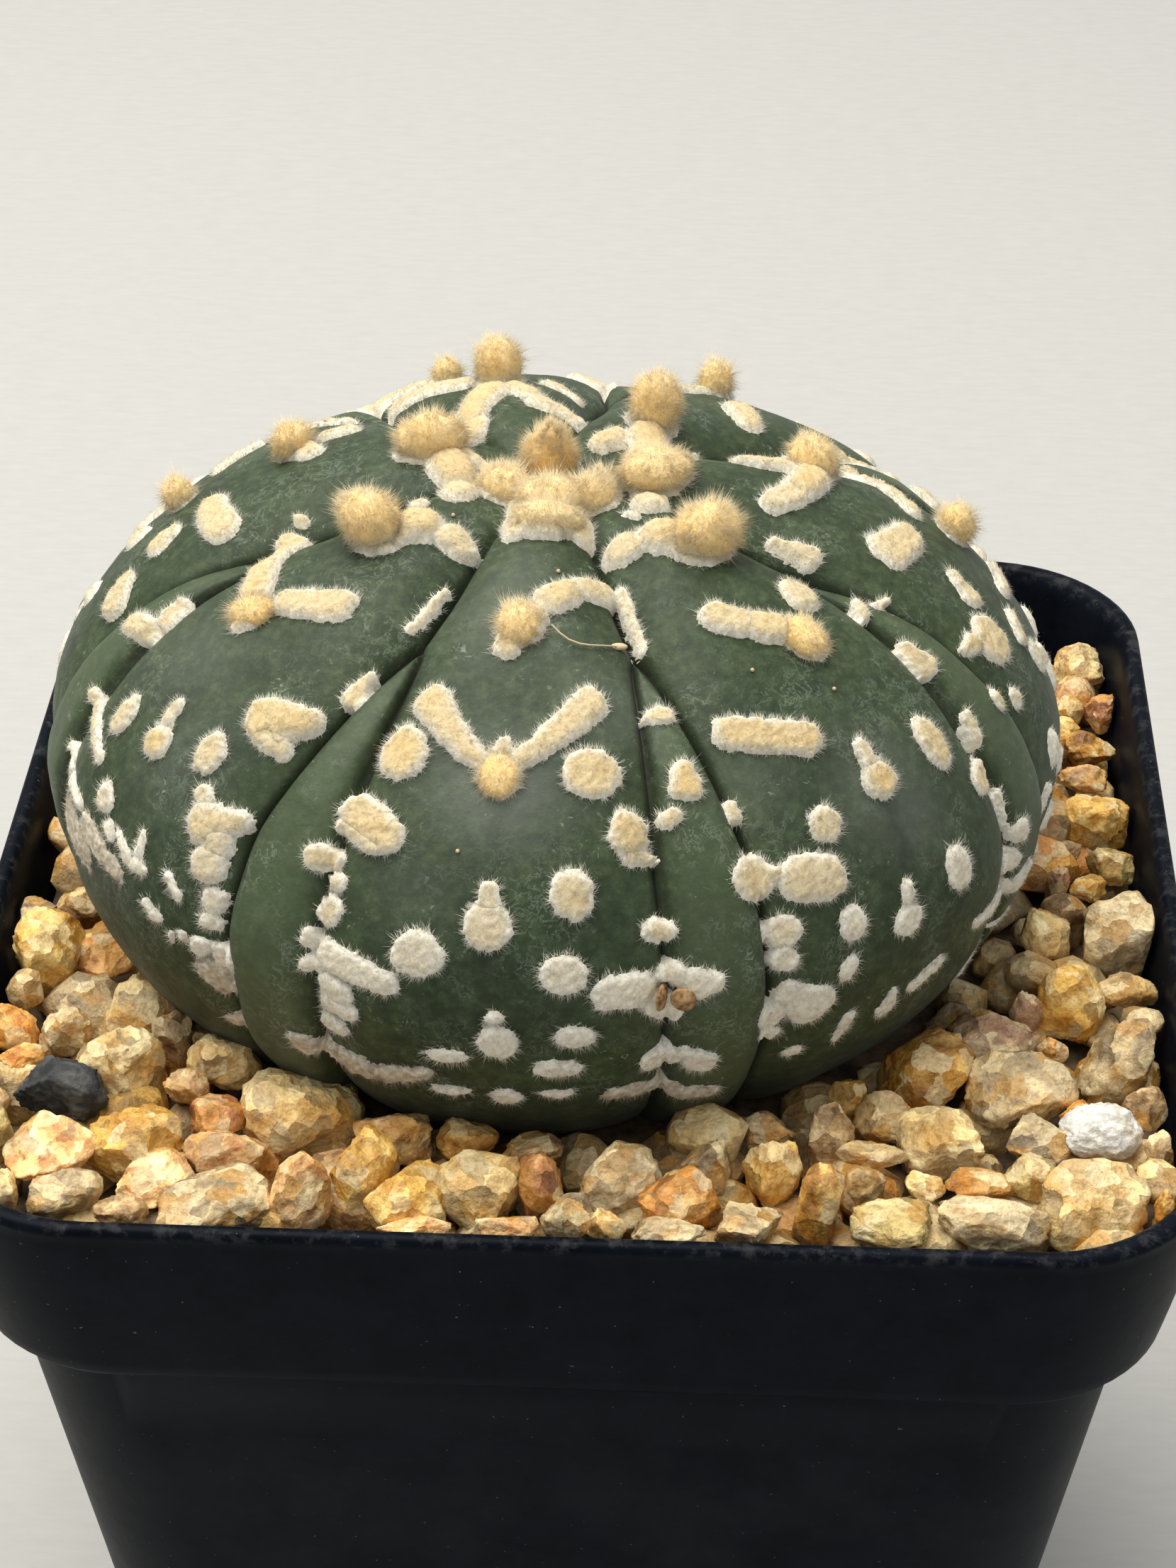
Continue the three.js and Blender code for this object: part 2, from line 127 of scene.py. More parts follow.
def joinTo(material, socket, source):
    node, output = source
    bsdf = material.node_tree.nodes["Principled BSDF"]
    material.node_tree.links.new(node.outputs[output], bsdf.inputs[socket])


def attribute(material, name):
    return addNode(material, "Attribute", attribute_name=name), "Color"


def objectPlace(material):
    return addNode(material, "TexCoord"), "Object"


def objectNoise(material, scale, detail=3.0, roughness=0.6, distortion=0.0):
    values = dict(Scale=scale, Detail=detail, Roughness=roughness, Distortion=distortion)
    return addNode(material, "TexNoise", {"Vector": objectPlace(material)}, **values), "Fac"


def rampOf(material, source, *stops):  # stops: (position, colour)
    ramp = addNode(material, "ValToRGB", {"Fac": source})
    elements = ramp.color_ramp.elements
    for index, (position, colour) in enumerate(stops):
        element = elements[index] if index < 2 else elements.new(position)
        element.position = position
        element.color = (*colour, 1)
    return ramp, "Color"


def grey(value):
    return value, value, value


def fadeIn(material, source, low, high, strength=1.0):  # black up to low, this strength from high on
    return rampOf(material, source, (low, grey(0)), (high, grey(strength)))


def mixOf(material, factor, first, second, blend="MIX"):  # each is (node, output), or a plain value
    mix = addNode(material, "Mix", data_type="RGBA", blend_type=blend)
    for index, source in ((0, factor), (6, first), (7, second)):
        if isinstance(source, tuple) and isinstance(source[0], bpy.types.Node):
            material.node_tree.links.new(source[0].outputs[source[1]], mix.inputs[index])
        else:
            mix.inputs[index].default_value = (*source, 1) if isinstance(source, tuple) else source
    return mix, 2


def timesOf(material, first, second):
    return mixOf(material, 1.0, first, second, "MULTIPLY")


def bumpOf(material, height, strength, distance, **links):
    links["Height"] = height
    return addNode(material, "Bump", links, Strength=strength, Distance=distance), "Normal"


# Plant: a section that is turned round, with ribs, humps and creases cut into it. A place on the skin is
# an angle in degrees from +X and a t, which is 0 at the crown and 1 at the foot.

plant = dict(
    centre=(-2.3, 1.8), radius=31.8, depthRatio=30.8 / 31.8, equator=77.0, crownRise=18.6, flankDrop=18.5,
    crownPower=1.12, flankPower=0.6, sweep=128.0, crownDip=2.4, crownDipRadius=5.0, buried=1.12,
    grooveDepth=2.5, grooveDeepens=(0, 0.24), ribRoundness=2.3, swollenRoundness=2.4, swelling=0.6,
    closing=(0.14, 0.38),  # from here to there the ribs swell until they close over the grooves
    humpHalfAngle=5.7, humpStart=0.25, humpFull=0.5, humpDrop=0.15, humpSinks=(0.3, 2.2),
    creaseDepth=0.5, creaseWidth=0.24, creaseDeepens=(0.02, 0.2),
    grooves=(30, 80, 130, 194.5, 241.5, 290.7, 339.5),  # the viewer faces 270
    lean=(0, 0, 0, 0, 3.5, -0.5, 0), leanFades=(0.25, 0.55),  # how far each groove turns aside above its hump
    unevenness=((0.14, 0.22, 3), (0.05, 0.7, 9)),  # how high, waves in a millimetre, seed
    ribColumns=36, humpColumns=16, rows=190,
    # the taproot's outline, as radius and height
    root=((0, 38.5), (2.2, 39.4), (4.2, 45), (7, 53), (10.5, 57.5), (12.2, 60.2), (12.2, 62), (0, 62)),
)


def section(t):
    angle = np.radians(t * plant["sweep"])
    lift = np.cos(angle)
    radius = plant["radius"] * np.abs(np.sin(angle)) ** np.where(lift >= 0, 1.0, plant["flankPower"])
    crown = plant["crownRise"] * np.abs(lift) ** plant["crownPower"]
    height = plant["equator"] + np.where(lift >= 0, crown, plant["flankDrop"] * lift)
    return radius, height - plant["crownDip"] * np.exp(-((radius / plant["crownDipRadius"]) ** 2))


def roundLength(t):  # millimetres of skin in a degree round the plant
    return np.radians(section(t)[0])


def flankLength(t):  # millimetres of skin in a unit of t
    (nearRadius, nearHeight), (farRadius, farHeight) = section(t - 0.004), section(t + 0.004)
    return np.hypot(farRadius - nearRadius, farHeight - nearHeight) / 0.008


def humpHalfAngle(t):
    opening = np.clip((t - plant["humpStart"]) / (plant["humpFull"] - plant["humpStart"]), 0, 1)
    return plant["humpHalfAngle"] * np.sqrt(opening)


def grooveAngle(index, t):
    return plant["grooves"][index % 7] + plant["lean"][index % 7] * (1 - smoothstep(t, *plant["leanFades"]))


def lobeAt(theta, t):  # across the rib or hump from -1 to 1, its half width in degrees, and 1 on a hump
    offsets = np.array([(theta - grooveAngle(i, t) + 180) % 360 - 180 for i in range(7)])
    nearest = np.argmin(np.abs(offsets), axis=0)
    offset = np.take_along_axis(offsets, nearest[None], 0)[0]
    half = humpHalfAngle(t)
    onHump = np.abs(offset) < half
    left = np.where(offset >= 0, nearest, nearest - 1) % 7
    edges = np.array([grooveAngle(i, t) + 0 * theta for i in range(7)])
    start = np.take_along_axis(edges, left[None], 0)[0]
    span = (np.take_along_axis(edges, ((left + 1) % 7)[None], 0)[0] - start) % 360
    ribHalf = span / 2 - half
    onRib = ((theta - start) % 360 - span / 2) / ribHalf
    across = np.where(onHump, offset / np.maximum(half, 1e-6), onRib)
    return np.clip(across, -1, 1), np.where(onHump, half, ribHalf), onHump * 1.0


def reliefOf(across, width, onHump, t):
    closing = smoothstep(t, *plant["closing"])
    shape = np.abs(across) ** (plant["ribRoundness"] + plant["swollenRoundness"] * closing)
    depth = plant["grooveDepth"] * smoothstep(t, *plant["grooveDeepens"]) * (1 - plant["swelling"] * closing)
    gap = (1 - np.abs(across)) * width * roundLength(t)
    narrow = 1 - smoothstep(width * roundLength(t), *plant["humpSinks"])
    sunk = plant["humpDrop"] + (depth - plant["humpDrop"]) * narrow
    crease = np.exp(-((gap / plant["creaseWidth"]) ** 2)) * smoothstep(t, *plant["creaseDeepens"])
    return -depth * shape - onHump * sunk * (1 - shape) - plant["creaseDepth"] * crease


def reliefAt(theta, t):
    return reliefOf(*lobeAt(theta, t), t)


def skinPoint(theta, t, lift, relief=None):
    relief = reliefAt(theta, t) if relief is None else relief
    radius, height = section(t)
    (nearRadius, nearHeight), (farRadius, farHeight) = section(np.maximum(t - 0.002, 0)), section(t + 0.002)
    run, rise = farRadius - nearRadius, nearHeight - farHeight
    size = np.hypot(run, rise)
    reach = radius + (relief + lift) * rise / size
    angle = np.radians(theta)
    x = plant["centre"][0] + reach * np.cos(angle)
    y = plant["centre"][1] + reach * np.sin(angle) * plant["depthRatio"]
    return np.stack([x, y, height + (relief + lift) * run / size], -1)


skinLook = dict(
    greens=((0.32, (0.018, 0.0305, 0.0125)), (0.5, (0.031, 0.0495, 0.0205)), (0.7, (0.06, 0.086, 0.041))),
    clouds=((0.32, (0.72, 0.76, 0.74)), (0.66, (1.25, 1.2, 1.16))),
    hump=(0.115, 0.15, 0.078), bloom=(0.19, 0.205, 0.18), scar=(0.3, 0.35, 0.28),
    # the crease tone is painted shade in the creases and towards the foot; it also draws a thin dark line on
    # the rib crests
    crease=(0.014, 0.016, 0.007), ringedHump=0.45,
    humpLight=0.35, edgeLight=0.2, creaseShade=0.85, footShade=0.7, crestDark=0.3,
    # where a greyish bloom lies on the skin: angle, t, spread in millimetres, strength
    blooms=((266, 0.4, 3.6, 0.5), (283, 0.31, 3, 0.25), (262, 0.2, 4, 0.2), (222, 0.47, 4, 0.2),
            (316, 0.48, 4, 0.3), (318, 0.52, 3, 0.3), (300, 0.42, 3, 0.15), (212, 0.38, 4, 0.2),
            (258, 0.52, 3, 0.15)),
)


def makeSkinMaterial():  # in the tone, red is a light hump, green is bloom and blue is painted shade in the creases and towards the foot, with a thin dark line on the rib crests
    skin = newMaterial("cactusSkin", Roughness=0.56, Specular_IOR_Level=0.26, Sheen_Weight=0.04,
                       Sheen_Roughness=0.4)
    tone = addNode(skin, "SeparateColor", {"Color": attribute(skin, "tone")})
    mottle = objectNoise(skin, 1300, 5, 0.7)
    clouds = rampOf(skin, objectNoise(skin, 260, 4), *skinLook["clouds"])
    green = timesOf(skin, rampOf(skin, mottle, *skinLook["greens"]), clouds)
    green = mixOf(skin, (tone, "Red"), green, skinLook["hump"])
    green = mixOf(skin, (tone, "Green"), green, skinLook["bloom"])
    scurf = fadeIn(skin, objectNoise(skin, 1900, 2, 0.5, 1.6), 0.63, 0.7)
    scurf = timesOf(skin, scurf, fadeIn(skin, objectNoise(skin, 330, 2), 0.52, 0.66, 0.5))
    rings = objectNoise(skin, 900, 5, 0.68, 0.5)
    rings = rampOf(skin, rings, (0.475, grey(0)), (0.5, grey(0.7)), (0.525, grey(0)))
    rings = timesOf(skin, rings, fadeIn(skin, objectNoise(skin, 210, 2), 0.5, 0.62))
    rings = timesOf(skin, rings, mixOf(skin, (tone, "Red"), grey(skinLook["ringedHump"]), grey(1)))
    worn = mixOf(skin, mixOf(skin, 1.0, scurf, rings, "ADD"), green, skinLook["scar"])
    # blue lays the painted shade of the creases and the foot
    joinTo(skin, "Base Color", mixOf(skin, (tone, "Blue"), worn, skinLook["crease"]))
    joinTo(skin, "Normal", bumpOf(skin, mottle, 0.35, 0.0002))
    return skin


def makeSkin():
    bm = bmesh.new()
    unit = plant["humpColumns"] + plant["ribColumns"]
    columns = 7 * unit
    bmesh.ops.create_grid(bm, x_segments=columns, y_segments=plant["rows"], size=0.5)
    flat = np.array([v.co[:] for v in bm.verts])
    column = np.rint((flat[:, 0] + 0.5) * columns)
    t = (flat[:, 1] + 0.5) * plant["buried"]
    groove = (column // unit).astype(int)
    step = column % unit
    half = humpHalfAngle(t)
    start = np.choose(groove % 7, [grooveAngle(i, t) for i in range(7)])
    span = (np.choose((groove + 1) % 7, [grooveAngle(i, t) for i in range(7)]) - start) % 360
    onHump = step < plant["humpColumns"]
    acrossHump = 2 * step / plant["humpColumns"] - 1
    acrossRib = np.sin(math.pi / 2 * (2 * (step - plant["humpColumns"]) / plant["ribColumns"] - 1))
    across = np.where(onHump, acrossHump, acrossRib)
    closed = onHump & (half <= 0)
    across = np.where(closed, -1, across)
    width = np.where(onHump, half, span / 2 - half)
    theta = start + np.where(onHump, np.where(closed, 0, across * half), span / 2 + across * width)
    points = skinPoint(theta, t, 0.0, reliefOf(across, width, onHump * 1.0, t))
    centre = np.array([*plant["centre"], plant["equator"]])
    away = (points - centre) / np.linalg.norm(points - centre, axis=1)[:, None]
    uneven = sum(size * ripple(points, frequency, seed) for size, frequency, seed in plant["unevenness"])
    points += away * uneven[:, None]
    angleLayer = bm.verts.layers.float.new("theta")
    flankLayer = bm.verts.layers.float.new("flank")
    for vert, point, angle, down in zip(bm.verts, points, theta, t):
        vert.co = point
        vert[angleLayer] = angle
        vert[flankLayer] = down
    bmesh.ops.remove_doubles(bm, verts=bm.verts, dist=0.004)
    rim = [e for e in bm.edges if e.is_boundary]
    bmesh.ops.holes_fill(bm, edges=rim, sides=0)
    bmesh.ops.triangulate(bm, faces=[f for f in bm.faces if len(f.verts) > 4])
    addRoot(bm)
    bmesh.ops.recalc_face_normals(bm, faces=bm.faces)
    mesh = meshOf("cactus_skin", bm)
    theta, t = (np.empty(len(mesh.vertices), np.float32) for _ in range(2))
    mesh.attributes["theta"].data.foreach_get("value", theta)
    mesh.attributes["flank"].data.foreach_get("value", t)
    paint(mesh, "tone", skinTone(theta, t))
    addPiece("cactus_skin", mesh, makeSkinMaterial(), "cactus_skin", "cactus")


def addRoot(bm):  # the taproot, in the soil
    x, y = plant["centre"]
    first = [bm.verts.new((x + radius, y, z)) for radius, z in plant["root"]]
    edges = [bm.edges.new(pair) for pair in zip(first, first[1:])]
    made = bmesh.ops.spin(bm, geom=first + edges, cent=(x, y, 0), axis=(0, 0, 1),
                          angle=math.tau, steps=20, use_merge=True, use_duplicate=False)
    around = [g for g in made["geom_last"] if isinstance(g, bmesh.types.BMVert)] + first
    bmesh.ops.remove_doubles(bm, verts=[v for v in set(around) if v.is_valid], dist=0.001)


def skinTone(theta, t):
    across, width, onHump = lobeAt(theta, t)
    gap = (1 - np.abs(across)) * width * roundLength(t)
    light = skinLook["humpLight"] * onHump * smoothstep(gap, 0.1, 1.6)
    light += skinLook["edgeLight"] * (1 - onHump) * smoothstep(t, 0.2, 0.5) * np.exp(-gap / 1.5)
    bloom = np.zeros(len(t))
    for angle, down, spread, strength in skinLook["blooms"]:
        away = np.hypot((theta - angle) * roundLength(down), (t - down) * flankLength(down))
        bloom = np.maximum(bloom, strength * np.exp(-((away / spread) ** 2)))
    # painted shade: darker in the creases and towards the foot, where the gravel shades the skin
    crease = skinLook["creaseShade"] * np.exp(-((gap / 0.3) ** 2)) * smoothstep(t, 0.03, 0.2)
    foot = skinLook["footShade"] * smoothstep(t, 0.82, 1.0)
    crest = np.exp(-((1 - onHump) * across / 0.035) ** 2) * (1 - onHump) * smoothstep(t, 0.38, 0.46)
    dark = np.maximum(np.maximum(crease, foot), skinLook["crestDark"] * crest)
    return np.stack([np.clip(light, 0, 1), bloom, dark], -1)


# Wool, read rib by rib off the photo. A bar runs between two places on the skin. Its other values are the
# width of both ends, its height and how tan it is.

wool = dict(
    bars=[
        # front rib
        (292, 0.166, 279, 0.178, 1.6, 2.1, 0.65, 0.2), (281, 0.175, 269, 0.204, 2.0, 2.4, 0.85, 0.4),
        (270, 0.2, 265.4, 0.24, 2.4, 2.6, 1.0, 0.6), (265.2, 0.23, 263.8, 0.264, 2.1, 1.5, 0.6, 0.3),
        (251.4, 0.302, 263.8, 0.378, 2.7, 1.3, 0.6, 0.35), (281.4, 0.296, 267.6, 0.374, 2.7, 1.3, 0.6, 0.3),
        (266.2, 0.342, 266, 0.366, 0.8, 1.3, 0.5, 0.1), (266, 0.366, 265.8, 0.406, 2.4, 2.5, 0.65, 0.9),
        (266, 0.497, 266, 0.54, 1.3, 1.6, 0.45, 0.0), (267, 0.68, 267.2, 0.712, 1.1, 1.6, 0.45, 0.0),
        # groove to the left of it
        (242.4, 0.176, 241.8, 0.244, 0.8, 0.9, 0.4, 0.1), (240.6, 0.292, 240.2, 0.342, 0.9, 1.7, 0.5, 0.4),
        (246.4, 0.436, 255.4, 0.474, 2.7, 2.2, 0.6, 0.45), (246.2, 0.46, 253, 0.484, 1.2, 1.2, 0.5, 0.0),
        (243.6, 0.51, 248.8, 0.503, 1.8, 1.5, 0.55, 0.3), (248, 0.515, 248.6, 0.545, 1.4, 1.5, 0.5, 0.1),
        (248.6, 0.548, 247.6, 0.596, 1.9, 1.5, 0.5, 0.4), (246, 0.596, 247, 0.634, 0.7, 1.8, 0.5, 0.1),
        (247, 0.632, 257.2, 0.658, 2.3, 1.7, 0.6, 0.2), (246.6, 0.64, 247.6, 0.68, 1.8, 2.3, 0.55, 0.2),
        (247.2, 0.694, 252.2, 0.7, 1.9, 1.5, 0.6, 0.2), (247.4, 0.728, 252.6, 0.735, 1.5, 1.4, 0.6, 0.2),
        (247.2, 0.764, 251.2, 0.778, 1.6, 1.5, 0.55, 0.2),
        # groove to the right of it
        (293.5, 0.168, 291.8, 0.25, 0.95, 0.75, 0.4, 0.1), (289.9, 0.31, 290, 0.337, 2.1, 2.2, 0.5, 0.3),
        (291, 0.376, 290.2, 0.424, 1.4, 2.5, 0.6, 0.75), (279.6, 0.447, 285, 0.449, 3.0, 2.7, 0.8, 0.55),
        (286, 0.441, 289.2, 0.432, 1.4, 1.1, 0.5, 0.2), (281, 0.474, 285.6, 0.48, 1.3, 1.0, 0.5, 0.0),
        (284.8, 0.548, 284.2, 0.588, 2.2, 2.3, 0.55, 0.35), (276.6, 0.652, 284, 0.656, 2.1, 2.6, 0.6, 0.15),
        (285.9, 0.61, 285, 0.655, 1.1, 2.5, 0.6, 0.2), (286, 0.652, 291, 0.654, 2.5, 1.4, 0.6, 0.1),
        (282.4, 0.67, 286.3, 0.72, 1.8, 1.8, 0.55, 0.2), (296, 0.426, 296, 0.457, 0.9, 1.2, 0.45, 0.1),
        (282, 0.814, 286.4, 0.79, 1.9, 1.9, 0.5, 0.1), (287, 0.776, 287, 0.8, 0.9, 1.8, 0.5, 0.1),
        (287, 0.79, 290.4, 0.826, 1.9, 1.8, 0.5, 0.0),
        # front right rib
        (291.4, 0.137, 307, 0.137, 1.7, 2.5, 0.8, 0.15), (304, 0.136, 320, 0.158, 2.5, 3.3, 1.5, 0.5),
        (305.2, 0.232, 314, 0.268, 2.3, 2.2, 0.7, 0.2), (312, 0.26, 319.6, 0.292, 2.2, 2.4, 0.9, 0.5),
        (330.6, 0.244, 326, 0.282, 2.6, 2.3, 0.7, 0.1), (323, 0.282, 319.4, 0.328, 2.6, 1.7, 0.7, 0.7),
        (296.6, 0.352, 311.4, 0.402, 2.2, 2.4, 0.6, 0.5), (316.2, 0.414, 316, 0.452, 1.1, 1.4, 0.45, 0.0),
        (298.6, 0.532, 306.8, 0.555, 2.9, 2.8, 0.7, 0.35), (297.6, 0.516, 299.4, 0.528, 0.7, 1.4, 0.8, 0.6),
        (314.2, 0.59, 313.6, 0.632, 0.8, 1.3, 0.45, 0.0), (298.6, 0.688, 298.2, 0.742, 0.8, 2.3, 0.55, 0.1),
        (298, 0.754, 303.8, 0.736, 3.5, 2.2, 0.5, 0.0), (294.8, 0.75, 298.4, 0.766, 1.5, 2.6, 0.5, 0.0),
        (295.6, 0.806, 298, 0.79, 1.4, 1.5, 0.5, 0.0), (299.2, 0.836, 300.8, 0.856, 1.6, 1.5, 0.45, 0.0),
        (312, 0.77, 311.2, 0.834, 0.5, 2.1, 0.45, 0.0), (306.3, 0.784, 304.8, 0.85, 1.2, 0.8, 0.45, 0.0),
        (319.6, 0.776, 314, 0.8, 1.1, 1.1, 0.45, 0.0), (306.2, 0.672, 304.2, 0.722, 1.5, 1.2, 0.45, 0.0),
        # groove to the right of that rib
        (337, 0.306, 339, 0.322, 2.6, 2.6, 0.6, 0.1), (340.6, 0.322, 345.2, 0.334, 1.1, 0.5, 0.45, 0.1),
        (336, 0.362, 336.2, 0.417, 1.3, 2.1, 0.55, 0.15), (336, 0.467, 334.2, 0.517, 1.0, 1.1, 0.45, 0.1),
        (334, 0.522, 330.4, 0.562, 1.3, 2.4, 0.5, 0.5), (333.8, 0.574, 334, 0.656, 1.1, 0.6, 0.45, 0.0),
        (340, 0.766, 334.6, 0.778, 1.2, 1.7, 0.5, 0.0), (335.5, 0.776, 324.2, 0.752, 1.7, 1.1, 0.5, 0.0),
        (334.6, 0.69, 333.6, 0.71, 1.6, 1.8, 0.5, 0.1), (338, 0.84, 327, 0.895, 0.5, 1.0, 0.45, 0.1),
        (344, 0.202, 344.3, 0.257, 0.9, 1.8, 0.55, 0.0), (349, 0.7, 343, 0.79, 1.2, 1.4, 0.5, 0.0),
        # front left rib
        (215.6, 0.158, 231, 0.133, 3.2, 2.3, 1.5, 0.5), (228, 0.134, 245, 0.1375, 2.5, 1.6, 0.8, 0.15),
        (190.5, 0.234, 203, 0.27, 2.5, 2.2, 0.7, 0.2), (201, 0.266, 212, 0.302, 2.2, 2.4, 0.9, 0.5),
        (214.4, 0.286, 230.6, 0.246, 2.0, 2.6, 0.75, 0.25), (213.4, 0.3, 214.2, 0.338, 2.6, 1.2, 0.7, 0.8),
        (186, 0.226, 190.4, 0.231, 1.3, 1.2, 0.55, 0.0), (216.2, 0.417, 216.6, 0.457, 0.9, 1.4, 0.45, 0.1),
        (227.4, 0.397, 238.6, 0.366, 3.3, 1.7, 0.8, 0.5), (230.4, 0.402, 236.6, 0.412, 1.9, 1.4, 0.6, 0.1),
        (227.6, 0.534, 235.6, 0.495, 3.1, 1.3, 0.65, 0.3), (230.6, 0.54, 234.6, 0.53, 2.4, 1.8, 0.6, 0.2),
        (229.8, 0.577, 234.6, 0.562, 2.5, 2.3, 0.65, 0.3), (231.6, 0.7, 233.8, 0.722, 1.8, 2.2, 0.55, 0.0),
        (234.8, 0.69, 236.2, 0.745, 1.4, 2.2, 0.55, 0.0), (222, 0.568, 222.8, 0.615, 0.7, 1.1, 0.45, 0.0),
        (222.6, 0.61, 223.2, 0.643, 1.3, 2.5, 0.5, 0.0), (218, 0.6, 221.4, 0.634, 0.6, 1.3, 0.45, 0.0),
        (212.4, 0.56, 215.2, 0.594, 1.7, 1.8, 0.45, 0.0), (215.4, 0.6, 217.8, 0.628, 1.4, 0.9, 0.45, 0.0),
        (227, 0.604, 230, 0.644, 0.9, 1.1, 0.4, 0.0), (223.8, 0.67, 227.4, 0.7, 1.0, 1.2, 0.4, 0.0),
        # groove to the left of it
        (197, 0.355, 199.6, 0.4, 1.1, 1.9, 0.55, 0.1), (200, 0.404, 192.6, 0.43, 1.7, 1.9, 0.55, 0.1),
        (198, 0.508, 206, 0.532, 1.1, 1.6, 0.5, 0.2), (205, 0.53, 210.4, 0.546, 1.5, 1.0, 0.5, 0.1),
        (199, 0.59, 204, 0.612, 1.2, 1.4, 0.5, 0.0), (204, 0.612, 210, 0.626, 1.3, 1.0, 0.5, 0.0),
        # left ribs
        (180, 0.428, 186.4, 0.47, 1.9, 2.5, 0.6, 0.2), (175, 0.362, 179.6, 0.403, 1.6, 2.3, 0.6, 0.15),
        (170.6, 0.334, 186, 0.3, 2.2, 2.7, 0.65, 0.25), (140, 0.314, 136, 0.274, 1.9, 1.0, 0.6, 0.0),
        (154, 0.28, 164, 0.225, 2.4, 1.9, 0.7, 0.15), (154, 0.25, 147, 0.214, 1.9, 1.5, 0.6, 0.0),
        (146, 0.364, 158, 0.376, 1.0, 1.2, 0.6, 0.0), (164, 0.1, 196, 0.078, 3.2, 2.5, 1.3, 0.5),
        (190, 0.08, 217, 0.094, 2.5, 2.2, 0.9, 0.1), (160, 0.092, 171, 0.05, 1.8, 0.6, 0.9, 0.0),
        # back ribs
        (111, 0.228, 127, 0.296, 2.1, 1.6, 0.65, 0.1), (107, 0.19, 128, 0.13, 2.6, 2.8, 1.0, 0.5),
        (124, 0.135, 152, 0.09, 2.7, 1.7, 0.8, 0.4), (106, 0.19, 98, 0.138, 1.8, 2.0, 0.7, 0.2),
        (102, 0.14, 77, 0.11, 2.2, 1.2, 0.7, 0.0), (62, 0.062, 47, 0.096, 1.8, 2.1, 0.8, 0.25),
        (48, 0.12, 12, 0.09, 2.6, 3.0, 1.2, 0.5), (52, 0.262, 39, 0.23, 2.6, 1.9, 0.65, 0.25),
        (84, 0.19, 96, 0.214, 1.0, 1.2, 0.5, 0.2), (124, 0.328, 113, 0.316, 1.4, 1.5, 0.6, 0.2),
        (66, 0.25, 62, 0.3, 1.3, 1.5, 0.6, 0.1), (68, 0.225, 58, 0.19, 1.4, 1.0, 0.5, 0.1),
        # right rib
        (352.6, 0.186, 4, 0.222, 1.8, 2.3, 0.7, 0.1), (1, 0.212, 17, 0.248, 2.2, 2.8, 1.1, 0.5),
        (17.6, 0.163, 18.4, 0.23, 1.2, 2.2, 0.8, 0.1), (20, 0.25, 33, 0.262, 2.6, 1.3, 0.8, 0.2),
        (351.4, 0.304, 6.6, 0.344, 3.3, 2.2, 0.6, 0.25), (30, 0.318, 12, 0.362, 1.4, 1.7, 0.6, 0.1),
        (32, 0.445, 27, 0.465, 1.4, 1.3, 0.6, 0.1), (0.4, 0.385, 356, 0.431, 0.9, 2.0, 0.5, 0.05),
        (350, 0.44, 345.4, 0.43, 2.0, 0.8, 0.55, 0.7), (343.5, 0.478, 342.8, 0.512, 1.4, 1.7, 0.5, 0.1),
        (17, 0.506, 7, 0.488, 1.3, 1.4, 0.5, 0.0), (3, 0.485, 358, 0.515, 1.2, 1.5, 0.5, 0.0),
        (317, 0.1, 312, 0.104, 1.6, 1.8, 0.8, 0.0), (344, 0.098, 320, 0.1, 2.8, 1.9, 0.9, 0.1),
        (12, 0.1, 17, 0.132, 1.4, 0.5, 0.7, 0.0),
        # the rosette round the crown
        (215, 0.05, 188, 0.056, 2.6, 1.2, 1.3, 0.6), (306, 0.06, 350, 0.05, 2.6, 1.0, 1.3, 0.5),
        (256, 0.075, 256, 0.122, 2.4, 1.2, 1.0, 0.3), (286, 0.075, 287, 0.118, 2.4, 1.3, 1.0, 0.3),
        (270, 0.118, 120, 0.01, 4.2, 4.6, 1.5, 0.45), (170, 0.03, 60, 0.03, 3.4, 3.4, 1.2, 0.2),
    ],
    spots=[
        # front rib: angle, t, width round and down, how tan
        (252, 0.374, 3.2, 3.7, 0.6), (278.2, 0.382, 3.6, 3.3, 0.4), (275.2, 0.516, 2.7, 3.1, 0.25),
        (266, 0.556, 3.0, 3.0, 0.25), (258.8, 0.602, 3.4, 2.9, 0.1), (274.2, 0.618, 3.0, 2.6, 0.0),
        (275.2, 0.73, 2.5, 1.9, 0.0), (267.3, 0.742, 2.5, 2.7, 0.0), (262, 0.776, 3.2, 1.4, 0.0),
        (273.4, 0.792, 3.2, 1.7, 0.0), (262, 0.856, 2.6, 1.0, 0.0), (268, 0.862, 2.0, 2.0, 0.0),
        (273.4, 0.85, 2.6, 1.1, 0.0),
        # front right rib
        (306.2, 0.487, 2.4, 2.4, 0.15), (326.6, 0.464, 2.5, 3.9, 0.35), (306, 0.621, 1.9, 2.3, 0.0),
        (316, 0.467, 2.6, 2.4, 0.7), (296, 0.523, 2.8, 3.1, 0.3), (298.2, 0.601, 2.6, 2.4, 0.4),
        (298, 0.648, 2.0, 2.0, 0.25), (313.2, 0.655, 2.3, 2.2, 0.1), (322, 0.623, 2.4, 3.1, 0.0),
        (335.8, 0.668, 1.9, 1.9, 0.15), (334, 0.722, 2.2, 2.0, 0.15),
        # front left rib
        (207, 0.124, 1.6, 1.4, 0.0), (217.2, 0.474, 2.3, 2.3, 0.6), (209, 0.482, 2.0, 3.3, 0.1),
        (226, 0.449, 2.3, 3.1, 0.15), (228.2, 0.492, 1.5, 1.5, 0.1), (233.8, 0.616, 2.0, 1.8, 0.15),
        (233.8, 0.655, 1.9, 1.4, 0.1), (228.6, 0.72, 0.7, 1.1, 0.0), (230.2, 0.71, 0.7, 1.1, 0.0),
        # right, back and left ribs
        (352, 0.458, 3.5, 3.6, 0.3), (348, 0.524, 1.3, 1.7, 0.1), (0, 0.55, 2.2, 2.6, 0.1),
    ],
    dried=[  # old wool, brown and matted, as bars
